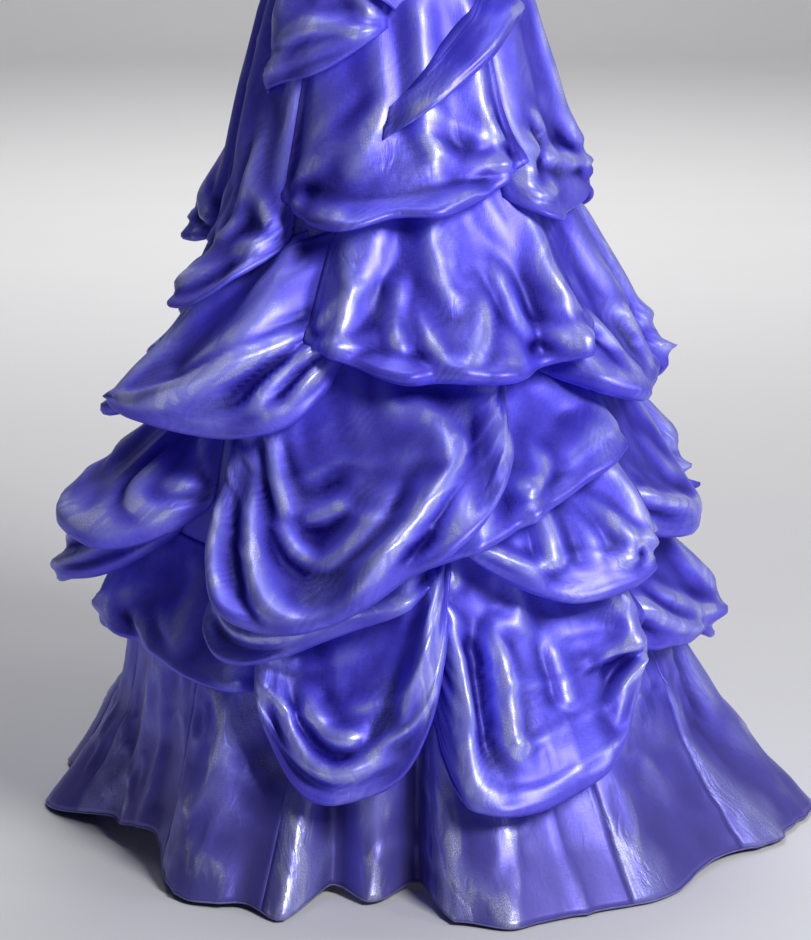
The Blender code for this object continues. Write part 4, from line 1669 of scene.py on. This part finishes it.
@dataclass
class Bodice:
    """Strapless bodice with a pointed lower edge, in three panels, and its closed back zip."""

    figure: Figure
    relief: Relief
    point_height: float = 0.962
    basque_rise: float = 0.075
    basque_angle: float = 50.0
    neck_front: float = 1.305
    neck_cup: float = 0.032
    neck_side: float = 1.268
    cup_angle: float = 30.0
    cup_height: float = 1.235
    cup_out: float = 0.020
    cup_span_angle: float = 19.0
    cup_span_height: float = 0.052
    seam_low: float = 0.97
    seam_rise: float = 0.26
    back_seam_angle: float = 132.0
    seam_width_angle: float = 1.6
    seam_depth: float = 0.0012
    shirr_height: float = 0.0030
    shirr_angle: float = 16.0
    shirr_reach: float = 0.09
    drift: float = 0.0012
    ridge: float = 0.0010
    seed: int = 211
    mean_radius: float = 0.135
    lay_gap: float = 0.0052
    pitch: float = 0.0045

    def edges(self, angle: np.ndarray) -> tuple[np.ndarray, np.ndarray]:
        """Heights of the lower and upper edge round the body.

        Args:
            angle: Degrees round the body.

        Returns:
            Lower and upper heights.
        """
        off = off_front(angle)
        aside = np.clip(off / self.basque_angle, 0.0, 1.0)
        lower = self.point_height + self.basque_rise * aside ** 0.75
        cup = self.neck_cup * np.exp(-(((off - self.cup_angle) / self.cup_span_angle) ** 2))
        upper = self.neck_front + (self.neck_side - self.neck_front) * smooth(off / 95.0) + cup
        return lower, upper

    def lay(self, left: float, right: float) -> np.ndarray:
        """Points of one panel.

        Args:
            left: Angle of its left edge.
            right: Angle of its right edge.

        Returns:
            Its grid of points.
        """
        columns = max(2, round(math.radians(right - left) * 0.14 / self.pitch))
        rows = round(0.32 / self.pitch)
        angle = np.linspace(left, right, columns + 1)[:, None]
        down = np.linspace(1.0, 0.0, rows + 1)[None, :]
        lower, upper = self.edges(angle)
        height = upper + (lower - upper) * down
        angle = np.repeat(angle, rows + 1, axis=1)
        off = off_front(angle)
        aside = (off - self.cup_angle) / self.cup_span_angle
        above = (height - self.cup_height) / self.cup_span_height
        out = self.cup_out * np.exp(-(aside ** 2) - above ** 2) + 0.004
        seam = self.cup_angle * (0.42 + 0.58 * smooth((height - self.seam_low) / self.seam_rise))
        groove = np.exp(-(((off - seam) / self.seam_width_angle) ** 2))
        back_groove = np.exp(-(((off - self.back_seam_angle) / self.seam_width_angle) ** 2))
        out = out - self.seam_depth * (groove + back_groove)
        crumple = Crumple(self.seed)
        run = np.radians(angle) * self.mean_radius
        over_point = height - self.point_height
        shirr = np.exp(-((off / self.shirr_angle) ** 2)) * np.exp(-((over_point / self.shirr_reach) ** 2))
        spread = off / (0.03 + np.maximum(over_point + 0.03, 0.0)) * 0.05
        gather = np.cos(spread * 5.0 + crumple.soft(run / 0.01, height / 0.05, 8))
        out = out + self.shirr_height * shirr * (0.5 + 0.5 * gather)
        out = out + self.drift * crumple.soft(run / 0.030 + 30, height / 0.016 + 3, 1)
        out = out + self.ridge * crumple.creased(run / 0.045 + 30, height / 0.012 + 9, 2)
        rest = self.relief.sample(self.relief.spread(), angle, height) + self.lay_gap
        return self.figure.place(angle, height, np.maximum(out, rest))

    def build(self, finish: bpy.types.Material, tape: bpy.types.Material) -> None:
        """Lay, build and dress the panels and the zip.

        Args:
            finish: The bodice's material.
            tape: The zip tape's material.
        """
        for name, left, right in (
            ("bodice_front", -90.0, 90.0),
            ("bodice_back_left", 183.0, 270.0),
            ("bodice_back_right", 90.0, 177.0),
        ):
            points = self.lay(left, right)
            ClothPiece(name, points, Slot.BODICE, Hang.STRETCHED, ("gore_a", "gore_g"), 0.0014).build(finish)
        strip = self.lay(177.2, 182.8)
        ClothPiece("back_zip", strip, Slot.ZIP, Hang.STRETCHED, ("bodice_back_left",), 0.0012).build(tape)


@dataclass(frozen=True)
class Lamp:
    """A square soft light: its place, side, watts, colour and the point it looks at."""

    name: str
    place: Place
    size: float
    power: float
    tint: Place
    aim: Place = (0.0, 0.0, -0.55)

    def hang(self) -> None:
        """Hang the light."""
        data = bpy.data.lights.new(self.name, "AREA")
        data.size = self.size
        data.energy = self.power
        data.color = self.tint
        lamp = add_object(self.name, data)
        lamp.location = self.place
        lamp.rotation_euler = (Vector(self.aim) - Vector(self.place)).to_track_quat("-Z", "Y").to_euler()


@dataclass
class Studio:
    """Pale floor, soft light and the camera at the photograph's angle."""

    floor_level: float = -WAIST_TO_HEM - 0.004
    eye: Place = (0.011, -4.0, 0.23)
    pitch: float = 12.5
    focal: float = 3480.0
    frame_height: float = 940.0
    sensor: float = 36.0
    far_clip: float = 60.0
    room_light: float = 0.05
    room_tint: Colour = (0.58, 0.62, 1.0, 1.0)
    floor_half: float = 16.0
    floor_columns: int = 12
    floor_rows: int = 128
    wall_start: float = 9.0
    wall_curve: float = 1.2
    lamps: tuple[Lamp, ...] = (
        Lamp("key", (1.95, -2.75, 1.50), 1.1, 122.0, (1.0, 1.0, 1.0)),
        Lamp("top", (-0.2, 0.2, 2.6), 1.4, 24.0, (0.96, 0.97, 1.0)),
        Lamp("side", (2.3, -0.9, 0.5), 0.7, 9.0, (0.95, 0.96, 1.0)),
        Lamp("floor_light", (0.0, 4.5, 3.6), 3.0, 260.0, (1.0, 0.99, 0.97), (0.0, 6.5, -1.0)),
    )

    def camera(self) -> None:
        """Place the camera."""
        data = bpy.data.cameras.new("view")
        data.sensor_fit = "AUTO"
        data.sensor_width = self.sensor
        data.lens = self.focal / self.frame_height * self.sensor
        data.clip_end = self.far_clip
        camera = add_object("view", data)
        camera.location = self.eye
        camera.rotation_euler = (math.radians(90.0 - self.pitch), 0.0, 0.0)
        bpy.context.scene.camera = camera

    def backdrop(self) -> None:
        """Make the floor, curved up behind the gown into a plain wall."""
        sheet = bmesh.new()
        rows, columns = self.floor_rows, self.floor_columns
        bmesh.ops.create_grid(sheet, x_segments=columns, y_segments=rows, size=self.floor_half)
        turn = self.wall_start + self.wall_curve * math.pi / 2
        for vert in sheet.verts:
            run = vert.co.y
            angle = min(max((run - self.wall_start) / self.wall_curve, 0.0), math.pi / 2)
            beyond = max(run - turn, 0.0)
            vert.co.y = min(run, self.wall_start) + self.wall_curve * math.sin(angle)
            vert.co.z = self.floor_level + self.wall_curve * (1.0 - math.cos(angle)) + beyond
        mesh = bpy.data.meshes.new("floor")
        sheet.to_mesh(mesh)
        sheet.free()
        mesh.shade_smooth()
        mesh.materials.append(Floor().make())
        floor = add_object("floor", mesh)

    def build(self) -> None:
        """Make floor, lights and camera."""
        self.backdrop()
        world = bpy.data.worlds.new("soft_room")
        world.use_nodes = True
        background = world.node_tree.nodes["Background"]
        background.inputs["Color"].default_value = self.room_tint
        background.inputs["Strength"].default_value = self.room_light
        bpy.context.scene.world = world
        bpy.context.scene.view_settings.view_transform = "Standard"
        for lamp in self.lamps:
            lamp.hang()
        self.camera()


def main() -> None:
    """Build the dressed gown round the frame."""
    logging.basicConfig(level=logging.INFO, format="%(name)s: %(message)s")
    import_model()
    figure = Figure()
    relief = Relief(figure)
    # The skirt takes more painted sheen in its patches.
    skirt = Organza("skirt_organza_finish", hem_share=0.75, rough=0.44, crumple=0.55, painted_sheen_share=0.55).make()
    swag_one = Organza("swag_organza_finish").make()
    swag_two = Organza("swag_organza_finish_b", mid=(0.108, 0.090, 0.78, 1.0), rough=0.41).make()
    # The bodice takes a weaker painted glint on its crests.
    bodice = Organza("bodice_satin_finish", crumple=0.2, painted_glint_share=0.3).make()
    Flounce(figure, relief).build(skirt)
    LOG.info("flounce made")
    Swags(figure, relief).build((swag_one, swag_two))
    LOG.info("swags made")
    Bodice(figure, relief).build(bodice, Tape("zip_tape_finish").make())
    LOG.info("bodice made")
    Studio().build()


if __name__ == "__main__":
    main()
